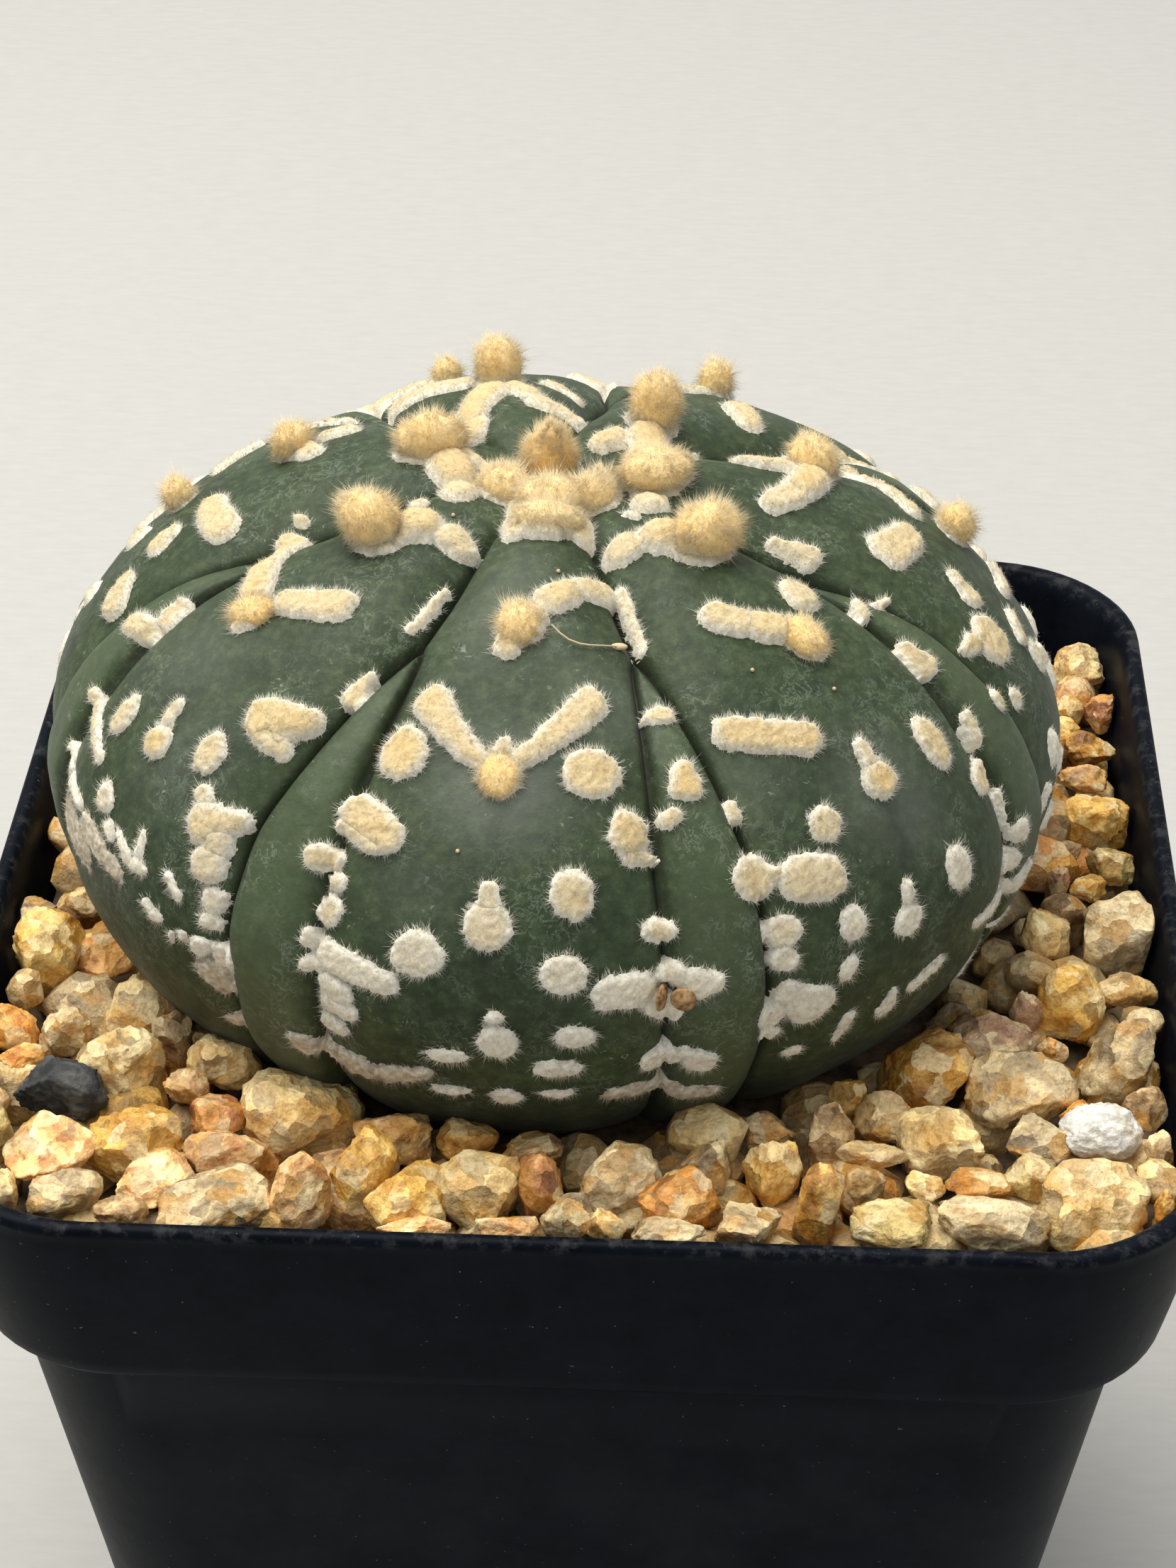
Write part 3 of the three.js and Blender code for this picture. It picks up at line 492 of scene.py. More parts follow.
        (243.6, 0.806, 246.4, 0.85, 1.3, 1.8, 0.5, 0.3), (246.2, 0.84, 254, 0.852, 1.7, 2.6, 0.5, 0.2),
        (253, 0.854, 260.6, 0.814, 2.4, 0.8, 0.45, 0.1), (233, 0.735, 235.4, 0.8, 2.6, 2.0, 0.5, 0.2),
        (234.4, 0.84, 235.4, 0.875, 1.6, 1.8, 0.5, 0.1), (278, 0.86, 292, 0.9, 1.6, 1.4, 0.4, 0.0),
        (210, 0.64, 221, 0.668, 2.0, 1.6, 0.35, 0.0), (204, 0.66, 214, 0.7, 2.4, 2.4, 0.3, 0.0),
    ],
    # tufts of the young areoles and the lumps of the rosette: angle, t, width, depth, height, turn in
    # degrees, how pointed, how far the top leans round and down, how tan
    tufts=[
        (213.6, 0.172, 4.6, 3.5, 2.6, 8, 0.12, -0.3, 0.4, 0.8),
        (321.6, 0.166, 4.4, 3.8, 2.7, 0, 0.12, 0.4, 0.3, 0.8),
        (100, 0.028, 4.0, 3.7, 4.2, 0, 0.6, 0, 0, 0.95),
        (164, 0.112, 3.0, 4.4, 2.3, -20, 0.1, -0.3, -0.3, 0.75),
        (106, 0.216, 3.1, 2.7, 3.0, 0, 0.15, 0, -0.2, 0.75), (50, 0.13, 3.3, 3.1, 3.3, 0, 0.15, 0, 0.1, 0.75),
        (358, 0.09, 3.3, 4.4, 1.8, 0, 0.05, 0, 0, 0.55), (19, 0.25, 3.6, 2.9, 2.1, 0, 0.1, 0.4, -0.2, 0.7),
        (15, 0.418, 2.6, 2.4, 1.9, 0, 0.1, 0, -0.2, 0.8), (62, 0.312, 2.2, 2.0, 2.2, 0, 0.1, 0, -0.2, 0.75),
        (112, 0.318, 2.0, 1.6, 1.6, 0, 0.1, 0, -0.2, 0.6),
        (158, 0.262, 3.1, 2.3, 1.9, 0, 0.1, 0.3, -0.2, 0.7), (165, 0.39, 2.1, 1.9, 1.8, 0, 0.1, 0, -0.1, 0.6),
        (266, 0.224, 2.5, 3.0, 1.15, 0, 0.1, 0, 0.1, 0.75), (320.4, 0.3, 2.6, 3.0, 0.8, 0, 0.1, 0, 0.2, 0.95),
        (213, 0.308, 3.1, 2.3, 0.8, -35, 0.1, 0, 0.2, 0.95),
        (265.9, 0.385, 2.3, 2.6, 0.6, 0, 0.05, 0, 0.1, 0.95),
        (214, 0.044, 3.6, 3.2, 1.9, 0, 0.25, -0.2, 0, 0.6), (308, 0.056, 3.6, 3.1, 1.9, 0, 0.25, 0.2, 0, 0.6),
        (272, 0.054, 4.4, 3.8, 2.2, 0, 0.1, 0, 0.2, 0.5), (271, 0.088, 4.2, 3.0, 1.5, 0, 0.1, 0, 0.3, 0.4),
        (191, 0.056, 2.2, 1.6, 1.5, 0, 0.5, -0.3, -0.3, 0.3),
        (348, 0.05, 2.2, 1.6, 1.5, 0, 0.5, 0.3, -0.3, 0.3),
    ],
    # how the wool is modelled, in millimetres
    spacing=0.155, farSpacing=0.24, margin=0.32, corner=0.9, joint=0.13, sunk=0.12, edge=0.06,
    roundOver=0.55, lowness=0.74, belly=0.12, bridging=0.7, coverSinks=0.7, crownFlat=0.16,
    ageing=(0.45, 0.7),
    # waves in a millimetre, and how high: along the edges, on top and on the tufts
    wander=((0.4, 0.1), (1.3, 0.13), (3.3, 0.12), (6.5, 0.07)),
    lumps=((0.8, 0.08), (2.3, 0.09), (5.5, 0.07)),
    tuftLumps=((1.3, 0.08), (3.1, 0.04), (6.5, 0.02)),
    hairs=200, farHairs=40, topShare=0.1, hairBand=0.3, hairLength=(0.22, 0.55), hairThickness=0.013,
    climb=0.9, stray=0.4, leaning=(1.3, 5), slopeStep=0.07,  # hairs at the edge lean less than those on top
    tuftHairs=125, tuftHairLength=(0.26, 0.68), tuftSunk=0.5, tuftStray=0.3, locks=1.1,
    longHairs=(0.05, 1.6), longTuftHairs=(0.08, 1.4),  # what share of them, and how much longer
    cushion=0.12, cushionHeight=0.22, cushionTan=0.6,  # the felt round a tuft's foot, next to the tuft
    # the felt's colours and the velvet's: cream, tan and white
    feltTones=((0.69, 0.6, 0.41), (0.72, 0.52, 0.23), (0.92, 0.9, 0.8)),
    velvetTones=((0.88, 0.74, 0.46), (0.93, 0.65, 0.26), (0.94, 0.86, 0.66)),
    soiledTone=(0.36, 0.28, 0.18), streaks=((0.3, (0.74, 0.66, 0.52)), (0.55, (1, 1, 1))),
)

# The same pattern runs down the far side of the plant: crest angles of the ribs there and rows of areoles
farSide = dict(
    crests=(5, 55, 105, 160), rows=(0.47, 0.6, 0.73, 0.86), beside=((8.5, 0.0), (12.5, 0.06)),
    grooves=(30, 80, 130), grooveRows=(0.34, 0.48, 0.62, 0.75, 0.87),
    # widths, height and tan of the marks on the crests and along the grooves
    crestBar=(1.1, 1.4, 0.45, 0.1), crestSpot=(2.5, 2.6, 0.2), wing=(2.4, 1.6, 0.6, 0.2),
    drop=(1.6, 1.4, 0.5, 0.2),
)


def farWool():
    bars, spots = [], []
    for crest in farSide["crests"]:
        for row in farSide["rows"]:
            t = row + rng.uniform(-0.012, 0.012)
            angle = crest + rng.uniform(-1, 1)
            if angle < 12 and t < 0.55:  # the photo shows the top of the right rib
                continue
            bars.append((angle, t - 0.04, angle + rng.uniform(-0.5, 0.5), t, *farSide["crestBar"]))
            spots.append((angle, t + 0.02, *farSide["crestSpot"]))
            for side in (-1, 1):
                for reach, shift in farSide["beside"]:
                    place = angle + side * (reach + rng.uniform(-1, 1))
                    down = t + shift + rng.uniform(-0.015, 0.015)
                    if down < 0.93 and not (place < 3 and down < 0.65):
                        spots.append((place, down, rng.uniform(1.8, 2.8), rng.uniform(2.2, 2.9), 0.1))
    for groove in farSide["grooves"]:
        for row in farSide["grooveRows"]:
            for side in (-1, 1):
                edge = groove + side * humpHalfAngle(row) + side * rng.uniform(1.2, 2.2)
                t = row + rng.uniform(-0.02, 0.02)
                reach = side * rng.uniform(2.5, 7)
                end = t + rng.uniform(-0.02, 0.02)
                bars.append((edge - side * 2.4, t, edge + reach, end, *farSide["wing"]))
                angle, end = edge - side * 0.8, t + rng.uniform(0.04, 0.07)
                bars.append((angle, t, angle, end, *farSide["drop"]))
    return bars, spots


def makeWoolMaterial(name, cream, tan, white):  # in the tint, red is tan, green is white and blue is soiled
    felt = newMaterial(name, Roughness=1.0, Specular_IOR_Level=0.05)
    tint = addNode(felt, "SeparateColor", {"Color": attribute(felt, "tint")})
    fibre = objectNoise(felt, 3200, 5, 0.75, 0.8)
    tone = mixOf(felt, (tint, "Green"), mixOf(felt, (tint, "Red"), cream, tan), white)
    tone = timesOf(felt, tone, rampOf(felt, fibre, *wool["streaks"]))
    joinTo(felt, "Base Color", mixOf(felt, (tint, "Blue"), tone, wool["soiledTone"]))
    joinTo(felt, "Normal", bumpOf(felt, fibre, 0.6, 0.00015))
    return felt


def nearby(theta, t, offset):  # angle and t of places some millimetres round and down from another
    if t < wool["crownFlat"]:  # round the crown the skin is laid out flat instead, as seen from above
        ahead = float(section(t)[0]) + offset[:, 1]
        reach = np.hypot(ahead, offset[:, 0])
        down = np.degrees(np.arcsin(np.clip(reach / plant["radius"], 0, 1))) / plant["sweep"]
        return theta + np.degrees(np.arctan2(offset[:, 0], ahead)), down
    return theta + offset[:, 0] / float(roundLength(t)), t + offset[:, 1] / float(flankLength(t))


def offsetTo(theta, t, farTheta, farT):  # the other way: millimetres round and down to other places
    turn = (farTheta - theta + 180) % 360 - 180
    if t < wool["crownFlat"]:
        reach, angle = section(np.clip(farT, 0, 0.7))[0], np.radians(turn)
        return np.stack([reach * np.sin(angle), reach * np.cos(angle) - section(t)[0]], -1)
    return np.stack([turn * float(roundLength(t)), (farT - t) * float(flankLength(t))], -1)


def roughness(points, layers):  # layers: waves in a millimetre, and how high
    return sum(size * ripple(points, frequency, 7 * frequency) for frequency, size in layers)


class Patch:  # a felted patch on the skin, with half its length and half its width
    def __init__(self, theta, t, along, half, ends, height, tan, bar, dried=0.0):
        self.theta, self.t, self.half, self.ends, self.bar = theta, t, half, ends, bar
        self.along = np.array(along) / np.hypot(*along)
        self.side = np.array([-self.along[1], self.along[0]])
        self.reach = np.array([half[0], half[1] * max(ends)]) + wool["margin"]
        self.kind = (height, tan, dried)
        self.age = float(smoothstep(t, *wool["ageing"]))  # old wool lies lower on the plant and is whiter
        self.middle = skinPoint(np.array([theta]), np.array([t]), 0.0)[0]
        self.neighbours = []

    def inside(self, theta, t):  # how far inside its edge places lie, in millimetres
        offset = offsetTo(self.theta, self.t, theta, t)
        u, v = offset @ self.along, offset @ self.side
        if not self.bar:
            return (1 - np.hypot(u / self.half[0], v / self.half[1])) * min(self.half)
        onward = np.clip(u / self.half[0] / 2 + 0.5, 0, 1)
        width = self.half[1] * (self.ends[0] + (self.ends[1] - self.ends[0]) * onward)
        width = width * (1.05 - wool["belly"] * (2 * onward - 1) ** 2)
        corner = wool["corner"] * width
        over = np.stack([np.abs(u) - self.half[0] + corner, np.abs(v) - width + corner])
        return corner - np.hypot(*np.maximum(over, 0)) - np.minimum(over.max(axis=0), 0)

    def felt(self, theta, t):  # how far inside the joined patches, of what kind, and how much others cover
        patches = [self, *self.neighbours]
        inside = np.stack([patch.inside(theta, t) for patch in patches])
        top = inside.max(axis=0)
        share = np.exp((inside - top) / wool["joint"])
        joined = top + wool["joint"] * np.log(share.sum(axis=0))
        kinds = np.array([patch.kind for patch in patches])
        return joined, (share / share.sum(axis=0)).T @ kinds, top - inside[0]

    def at(self, offset):
        theta, t = nearby(self.theta, self.t, offset)
        points = skinPoint(theta, t, 0.0)
        joined, kind, covered = self.felt(theta, t)
        return theta, t, points, joined + roughness(points, wool["wander"]) * (1 + kind[:, 2]), kind, covered

    def place(self, theta, t, lift):  # patches bridge the creases under them
        own = reliefAt(theta, t)
        across = wool["bridging"] / np.maximum(roundLength(t), 0.05)
        level = (reliefAt(theta - across, t) + own + reliefAt(theta + across, t)) / 3
        bridged = own + np.maximum(level - own, 0) * smoothstep(lift, 0, 0.3)
        return skinPoint(theta, t, lift, bridged)

    def lifts(self, points, joined, kind):
        roundOver = wool["roundOver"] + 0.7 * np.maximum(kind[:, 0] - 0.5, 0)
        within = np.clip((joined - wool["edge"]) / roundOver, 0, 1)
        rise = np.sqrt(1 - (1 - within) ** 2)  # rounded over like a roll of felt
        height = wool["lowness"] * kind[:, 0] * (1 - 0.3 * self.age) + roughness(points, wool["lumps"])
        return (height + wool["sunk"]) * rise - wool["sunk"]

    def body(self, spacing):
        steps = np.maximum(np.ceil(2 * self.reach / spacing), 4).astype(int).tolist()
        corners, faces = shapeOf(bmesh.ops.create_grid, x_segments=steps[0], y_segments=steps[1], size=1)
        offset = corners[:, :1] * self.reach[0] * self.along + corners[:, 1:2] * self.reach[1] * self.side
        theta, t, points, joined, kind, covered = self.at(offset)
        points = self.place(theta, t, self.lifts(points, joined, kind) - wool["coverSinks"] * covered)
        kept = (joined > wool["edge"] - 0.03) & (covered < 0.3)
        used, faces = np.unique(faces[kept[faces].any(axis=1)], return_inverse=True)
        return points[used], faces.reshape(-1, 3), self.tints(points, joined, kind)[used]

    def tints(self, points, joined, kind):
        deep = smoothstep(joined, 0.25, 0.95)
        blotch, fine = ripple(points, 0.9, 40), ripple(points, 3.2, 60)
        stained = (0.28 * blotch + 0.16 * fine + 0.08) * deep * (1 - 0.6 * self.age)
        tan = kind[:, 1] * (0.2 + 0.8 * deep) + stained
        white = 0.95 * (1 - smoothstep(joined, 0.05, 0.5)) + 0.7 * self.age - 0.3 * kind[:, 1] * deep
        soiled = 0.03 + 0.16 * blotch * (0.3 + self.age) + 0.12 * fine + kind[:, 2] * (0.5 + 0.5 * fine)
        return np.clip(np.stack([tan, white, soiled], -1), 0, 1)

    def hairs(self, density):  # roots, tips and tints; most stand round the edge, some lie on top
        count = int(density * 4 * self.reach[0] * self.reach[1])
        spread = rng.uniform(-1, 1, (count, 2)) * self.reach
        offset = spread[:, :1] * self.along + spread[:, 1:] * self.side
        theta, t, points, joined, kind, covered = self.at(offset)
        edge = np.exp(-np.maximum(joined - wool["edge"], 0) / wool["hairBand"])
        kept = (joined > wool["edge"]) & (covered < 0.02) & (rng.random(count) < edge + wool["topShare"])
        places = theta, t, points, joined, kind, edge, offset
        theta, t, points, joined, kind, edge, offset = (values[kept] for values in places)
        slope = []
        for step in wool["slopeStep"] * np.eye(2):
            ahead = self.felt(*nearby(self.theta, self.t, offset + step))[0]
            slope.append(self.felt(*nearby(self.theta, self.t, offset - step))[0] - ahead)
        atEdge = edge > 0.4
        outward = np.arctan2(slope[1], slope[0]) + rng.normal(0, wool["stray"], len(t))
        outward += ripple(points, 1.7, 31) * np.where(atEdge, *wool["leaning"])
        length = rng.uniform(*wool["hairLength"], len(t)) * (0.65 + 0.5 * edge)
        share, longer = wool["longHairs"]
        length *= np.where(rng.random(len(t)) < share, longer, 1)
        climb = rng.uniform(0.0, wool["climb"], len(t))
        low = self.lifts(points, joined, kind)
        low = np.where(atEdge, low * rng.uniform(0.2, 1.0, len(t)), low - 0.05)
        tip = offset + np.stack([np.cos(outward), np.sin(outward)], -1) * (length * np.cos(climb))[:, None]
        tipTheta, tipT = nearby(self.theta, self.t, tip)
        tint = self.tints(points, joined, kind)
        tint[:, 1] = np.clip(tint[:, 1] + rng.uniform(-0.1, 0.45, len(t)), 0, 1)
        root = skinPoint(theta, t, low)
        return root, skinPoint(tipTheta, tipT, low + length * np.sin(climb), reliefAt(theta, t)), tint


class Tuft:  # a velvety ball on a young areole
    def __init__(self, theta, t, wide, deep, tall, turn, point, leanRound, leanDown, tan):
        where = np.array([[0, 0], [0.3, 0], [-0.3, 0], [0, 0.3], [0, -0.3]])
        points = skinPoint(*nearby(theta, t, where), 0.0)
        east = (points[1] - points[2]) / np.linalg.norm(points[1] - points[2])
        south = (points[3] - points[4]) / np.linalg.norm(points[3] - points[4])
        self.up = np.cross(south, east)
        cos, sin = math.cos(math.radians(turn)), math.sin(math.radians(turn))
        self.across, self.down = cos * east + sin * south, cos * south - sin * east
        self.foot, self.size, self.lean = points[0], (wide, deep, tall), (leanRound, leanDown)
        self.point, self.tan = point, tan
        self.seed = rng.uniform(0, 100)
        half = wide / 2 + wool["cushion"], deep / 2 + wool["cushion"]
        height = wool["cushionHeight"] * tall
        self.cushion = Patch(theta, t, (cos, sin), half, (1, 1), height, wool["cushionTan"] * tan, False)

    def place(self, ball, out=0.0):
        wide, deep, tall = self.size
        up = (ball[:, 2] + 1) / 2
        taper = 1 - self.point * up ** 1.4
        rough = 1 + roughness(ball + self.seed, wool["tuftLumps"]) + out
        x = ball[:, 0] * wide / 2 * taper * rough + self.lean[0] * up
        y = ball[:, 1] * deep / 2 * taper * rough + self.lean[1] * up
        z = (tall + wool["tuftSunk"]) * (0.5 + ball[:, 2] / 2 * rough) - wool["tuftSunk"]
        return self.foot + x[:, None] * self.across + y[:, None] * self.down + z[:, None] * self.up

    def tints(self, ball):
        blotch = ripple(ball, 1.5, self.seed + 3)
        # painted light: the tuft is paler towards its top, where light falls on it
        paintedTopLight = 1 - 0.25 * smoothstep(ball[:, 2], 0.2, 1)
        tan = self.tan * smoothstep(ball[:, 2], -0.75, 0.0) * paintedTopLight + 0.2 * blotch
        white = 0.85 * (1 - smoothstep(ball[:, 2], -0.75, -0.15))
        return np.clip(np.stack([tan, white, 0 * tan], -1), 0, 1)

    def body(self, corners, faces):
        return self.place(corners), faces, self.tints(corners)

    def hairs(self):
        wide, deep, tall = self.size
        ball = rng.normal(0, 1, (int(wool["tuftHairs"] * (wide * deep + (wide + deep) * tall)), 3))
        ball /= np.linalg.norm(ball, axis=1)[:, None]
        ball = ball[ball[:, 2] > -0.7]
        root = self.place(ball * 0.97)
        length = rng.uniform(*wool["tuftHairLength"], len(ball))
        share, longer = wool["longTuftHairs"]
        length *= np.where(rng.random(len(ball)) < share, longer, 1)
        out = self.place(ball * 1.1) - root
        out /= np.linalg.norm(out, axis=1)[:, None]
        locks = np.stack([ripple(ball, 2.6, self.seed + 11 * axis) for axis in range(3)], -1)
        out += wool["locks"] * locks + rng.normal(0, wool["tuftStray"], out.shape)
        tint = self.tints(ball)
        tint[:, 0] *= 0.8
        tint[:, 1] = np.clip(tint[:, 1] + rng.uniform(0.1, 0.8, len(ball)), 0, 1)
        return root, root + out * length[:, None], tint


def patches(bars, spots, dried=0.0):
    for theta0, t0, theta1, t1, width0, width1, height, tan in bars:
        turn = (theta1 - theta0 + 180) % 360 - 180
        if max(t0, t1) < wool["crownFlat"]:  # ends near the crown are joined by a straight line across it
            places = (theta0, t0), (theta1, t1)
            ends = [section(t)[0] * np.exp(1j * math.radians(theta)) for theta, t in places]
            middle = (ends[0] + ends[1]) / 2
            theta = math.degrees(np.angle(middle))
            t = math.degrees(math.asin(abs(middle) / plant["radius"])) / plant["sweep"]
            step = (ends[1] - ends[0]) * np.exp(-1j * math.radians(theta))
            along = (step.imag, step.real)
        else:
            theta, t = theta0 + turn / 2, (t0 + t1) / 2
            along = (turn * float(roundLength(t)), (t1 - t0) * float(flankLength(t)))
        width = (width0 + width1) / 2
        half = max(math.hypot(*along) / 2, 0.3), width / 2
        yield Patch(theta, t, along, half, (width0 / width, width1 / width), height, tan, True, dried)
    for theta, t, wide, deep, tan in spots:
        yield Patch(theta, t, (1, 0), (wide / 2, deep / 2), (1, 1), 0.5, tan, False, dried)


def meetNeighbours(parts):
    middles = np.array([part.middle for part in parts])
    sizes = np.array([max(part.half) for part in parts])
    for index, part in enumerate(parts):
        near = np.linalg.norm(middles - part.middle, axis=1) < sizes + sizes[index] + 0.8
        part.neighbours = [parts[other] for other in np.flatnonzero(near) if other != index]


def hairMesh(name, strands):
    corners, faces = shapeOf(bmesh.ops.create_cone, segments=3, radius1=1, radius2=0, depth=1)
    root, tip, tint = (np.concatenate(parts) for parts in zip(*strands))
    along = tip - root
    side = np.cross(along, rng.normal(0, 1, along.shape))
    side /= np.linalg.norm(side, axis=1)[:, None]
    other = np.cross(along, side)
    other /= np.linalg.norm(other, axis=1)[:, None]
    x, y = wool["hairThickness"] * corners[:, :2].T
    z = corners[:, 2] + 0.5
    points = (root[:, None] + x[None, :, None] * side[:, None] + y[None, :, None] * other[:, None]
              + z[None, :, None] * along[:, None])
    allFaces = faces[None] + (np.arange(len(root)) * len(corners))[:, None, None]
    mesh = bpy.data.meshes.new(name)
    mesh.from_pydata(points.reshape(-1, 3).tolist(), [], allFaces.reshape(-1, 3).tolist())
    paint(mesh, "tint", np.repeat(tint, len(corners), axis=0))
    return mesh


remains = dict(
    # rings left by old fruit: angle, t, radius in millimetres
    scars=((284.2, 0.668, 0.8), (286.2, 0.671, 0.75)),
    rings=(1, 0.72, 0.45, 0.2), ringTaper=0.12, ringDepth=0.16, ringRise=0.18, scarLift=0.62,
    scarTones=((0.35, (0.16, 0.075, 0.025)), (0.65, (0.5, 0.33, 0.16))),
    # a dried filament below the front rib's upper tuft, and loose specks of wool: angle, t, height over
    # the skin
    filament=((273, 0.228, 0.5), (274.6, 0.235, 0.35), (276.4, 0.241, 0.25), (278.5, 0.245, 0.25),
              (280.6, 0.2465, 0.3), (282.8, 0.2455, 0.3), (285, 0.243, 0.25), (287, 0.24, 0.2),
              (288.4, 0.238, 0.2)),
    specks=((275, 0.158, 0.05), (307.5, 0.308, 0.05), (225.5, 0.112, 0.05), (262, 0.47, 0.05),
            (318, 0.36, 0.05)),
    filamentRadius=0.05, filamentEnd=(0.5, 0.24, 0.2), overlap=1.1, speckRadius=0.12,
    straw=(0.6, 0.47, 0.28, 1),
)


def spotOver(theta, t, height):
    return Vector(skinPoint(np.array([theta]), np.array([t]), height)[0])


def makeFilament():
    dry = newMaterial("dryFilament", Base_Color=remains["straw"], Roughness=0.8)
    bm = bmesh.new()
    points = [spotOver(*place) for place in remains["filament"]]
    radius = remains["filamentRadius"]
    for start, stop in zip(points, points[1:]):
        along = stop - start
        turn = along.to_track_quat("Z", "Y").to_matrix().to_4x4()
        bmesh.ops.create_cone(bm, segments=8, radius1=radius, radius2=radius,
                              depth=along.length * remains["overlap"],
                              matrix=Matrix.Translation((start + stop) / 2) @ turn)
    swelling = Matrix.Translation(points[-2]) @ Matrix.Diagonal((*remains["filamentEnd"], 1))
    bmesh.ops.create_icosphere(bm, subdivisions=3, radius=1, matrix=swelling)
    for place in remains["specks"]:
        bmesh.ops.create_icosphere(bm, subdivisions=2, radius=remains["speckRadius"],
                                   matrix=Matrix.Translation(spotOver(*place)))
    addPiece("dry_filament", meshOf("dry_filament", bm), dry, "cactus_skin", "cactus")


def makeScars():  # flat cones stacked on each other
    bark = newMaterial("scar", Roughness=0.9, Specular_IOR_Level=0.1)
    joinTo(bark, "Base Color", rampOf(bark, objectNoise(bark, 2400, 3), *remains["scarTones"]))
    bm = bmesh.new()
    for theta, t, radius in remains["scars"]:
        points = skinPoint(*nearby(theta, t, np.array([[0, 0], [0.3, 0], [0, 0.3]])), remains["scarLift"])
        east, south = (Vector(point - points[0]).normalized() for point in points[1:])
        turn = Matrix((east, south, south.cross(east))).transposed().to_4x4()
        foot = Matrix.Translation(Vector(points[0])) @ turn
        for size in remains["rings"]:
            bmesh.ops.create_cone(bm, cap_ends=True, cap_tris=True, segments=18, radius1=radius * size,
                                  radius2=radius * (size - remains["ringTaper"]), depth=remains["ringDepth"],
                                  matrix=foot @ Matrix.Translation((0, 0, remains["ringRise"] * (1 - size))))
    addPiece("scar_rings", meshOf("scar_rings", bm), bark, "cactus_skin", "cactus")


def makeWool():
    ball, ballFaces = shapeOf(bmesh.ops.create_icosphere, subdivisions=4, radius=1)
    tufts = [Tuft(*tuft) for tuft in wool["tufts"]]
    near = [*patches(wool["bars"], wool["spots"]), *patches(wool["dried"], [], 1.0)]
    near += [tuft.cushion for tuft in tufts]
    far = list(patches(*farWool()))
    meetNeighbours(near + far)
    felt = makeWoolMaterial("felt", *wool["feltTones"])
    velvet = makeWoolMaterial("velvet", *wool["velvetTones"])
    bodies = dict(
        wool_flecks=[patch.body(wool["spacing"]) for patch in near],
        far_wool=[patch.body(wool["farSpacing"]) for patch in far],
        young_tufts=[tuft.body(ball, ballFaces) for tuft in tufts],
    )
    meshes = {name: meshOfCopies(name, copies) for name, copies in bodies.items()}
    half = len(near) // 2
    nearHairs = [patch.hairs(wool["hairs"]) for patch in near]
    strands = dict(
        fleck_hairs=nearHairs[:half], fleck_hairs_more=nearHairs[half:],
        far_hairs=[patch.hairs(wool["farHairs"]) for patch in far],
        tuft_hairs=[tuft.hairs() for tuft in tufts],
    )
    meshes.update({name: hairMesh(name, locks) for name, locks in strands.items()})
    for name, mesh in meshes.items():
        print(name, len(mesh.polygons), "triangles")
        addPiece(name, mesh, velvet if "tuft" in name else felt, "cactus_skin", "cactus")


# Pot: rounded squares stacked up the outside, over the lip and down the inside

pot = dict(
    width=75.0, height=68.0, baseWidth=53.4, bodyTopWidth=67.9, cornerRadius=9.8, wall=1.2, floor=1.6,
    bandHeight=13.1, bandFootWidth=71.2, bandBulge=0.3, clearance=0.3,  # between the wall and the gravel
    footHeight=2.0, footWidth=11.0, footInset=2.2, footRadius=2.6, drainWidth=6.4, drainPitch=15.0,
    # rounded edges, as what is added to the height and to the width
    foot=((0, -1.4), (0.2, -1), (2.6, 0)), heel=((0, -2), (0.25, -0.8), (0.9, 0)),
    step=((-0.2, 0), (-0.1, 0.3), (0, 2.3), (0.12, 2.95)),
    lip=((-0.75, -0.2), (-0.45, 0), (-0.15, -0.15), (0, -0.6), (0, -1.5), (-0.2, -2)),
    # rows of points between them: heights on the body, and shares of the band's height
    bodyRows=(12, 24, 36, 48), bandRows=(0.04, 0.1, 0.2, 0.35, 0.5, 0.65, 0.8, 0.9),
    blacks=((0.35, (0.0008, 0.002, 0.0046)), (0.7, (0.0038, 0.006, 0.0105))),
    # the lip's pale tone stands partly for wear and partly for a painted highlight
    speck=(0.17, 0.17, 0.16), lipWearAndHighlight=(0.05, 0.051, 0.052), film=(0.016, 0.018, 0.021), filmDepth=12,
)


def potWidth(z):
    bandFoot = pot["height"] - pot["bandHeight"]
    if z < bandFoot:
        slope = (pot["bodyTopWidth"] - pot["baseWidth"]) / (bandFoot - pot["footHeight"])
        return pot["baseWidth"] + slope * (z - pot["footHeight"])
    up = (z - bandFoot) / pot["bandHeight"]
    return pot["bandFootWidth"] + (pot["width"] - pot["bandFootWidth"]) * up


def stackSquares(bm, radius, levels, place=(0, 0)):  # levels: height and width of each, first to last
    height, width = levels[0]
    square = bmesh.ops.create_grid(bm, x_segments=1, y_segments=1, size=width / 2)["verts"]
    bmesh.ops.translate(bm, verts=square, vec=(*place, height))
    rounded = bmesh.ops.bevel(bm, geom=square, offset=radius, segments=14, profile=0.5, affect="VERTICES",
                              material=-1)
    edges = {e for v in rounded["verts"] for e in v.link_edges}
    face = max({f for e in edges for f in e.link_faces}, key=lambda f: f.calc_area())
    bottom = face
    for height, nextWidth in levels[1:]:
        made = bmesh.ops.extrude_face_region(bm, geom=[face])["geom"]
        if face is not bottom:
            bmesh.ops.delete(bm, geom=[face], context="FACES_ONLY")
        face = next(g for g in made if isinstance(g, bmesh.types.BMFace))
        grow = nextWidth / width
        for vert in face.verts:
            x, y = vert.co.x - place[0], vert.co.y - place[1]
            vert.co = (place[0] + x * grow, place[1] + y * grow, height)
        width = nextWidth


def between(material, low, high):  # 0 at one height on the piece and 1 at the other
    up = addNode(material, "SeparateXYZ", {"Vector": objectPlace(material)})
    part = addNode(material, "MapRange", {"Value": (up, "Z")}, From_Min=low * mm, From_Max=high * mm)
    return part, "Result"


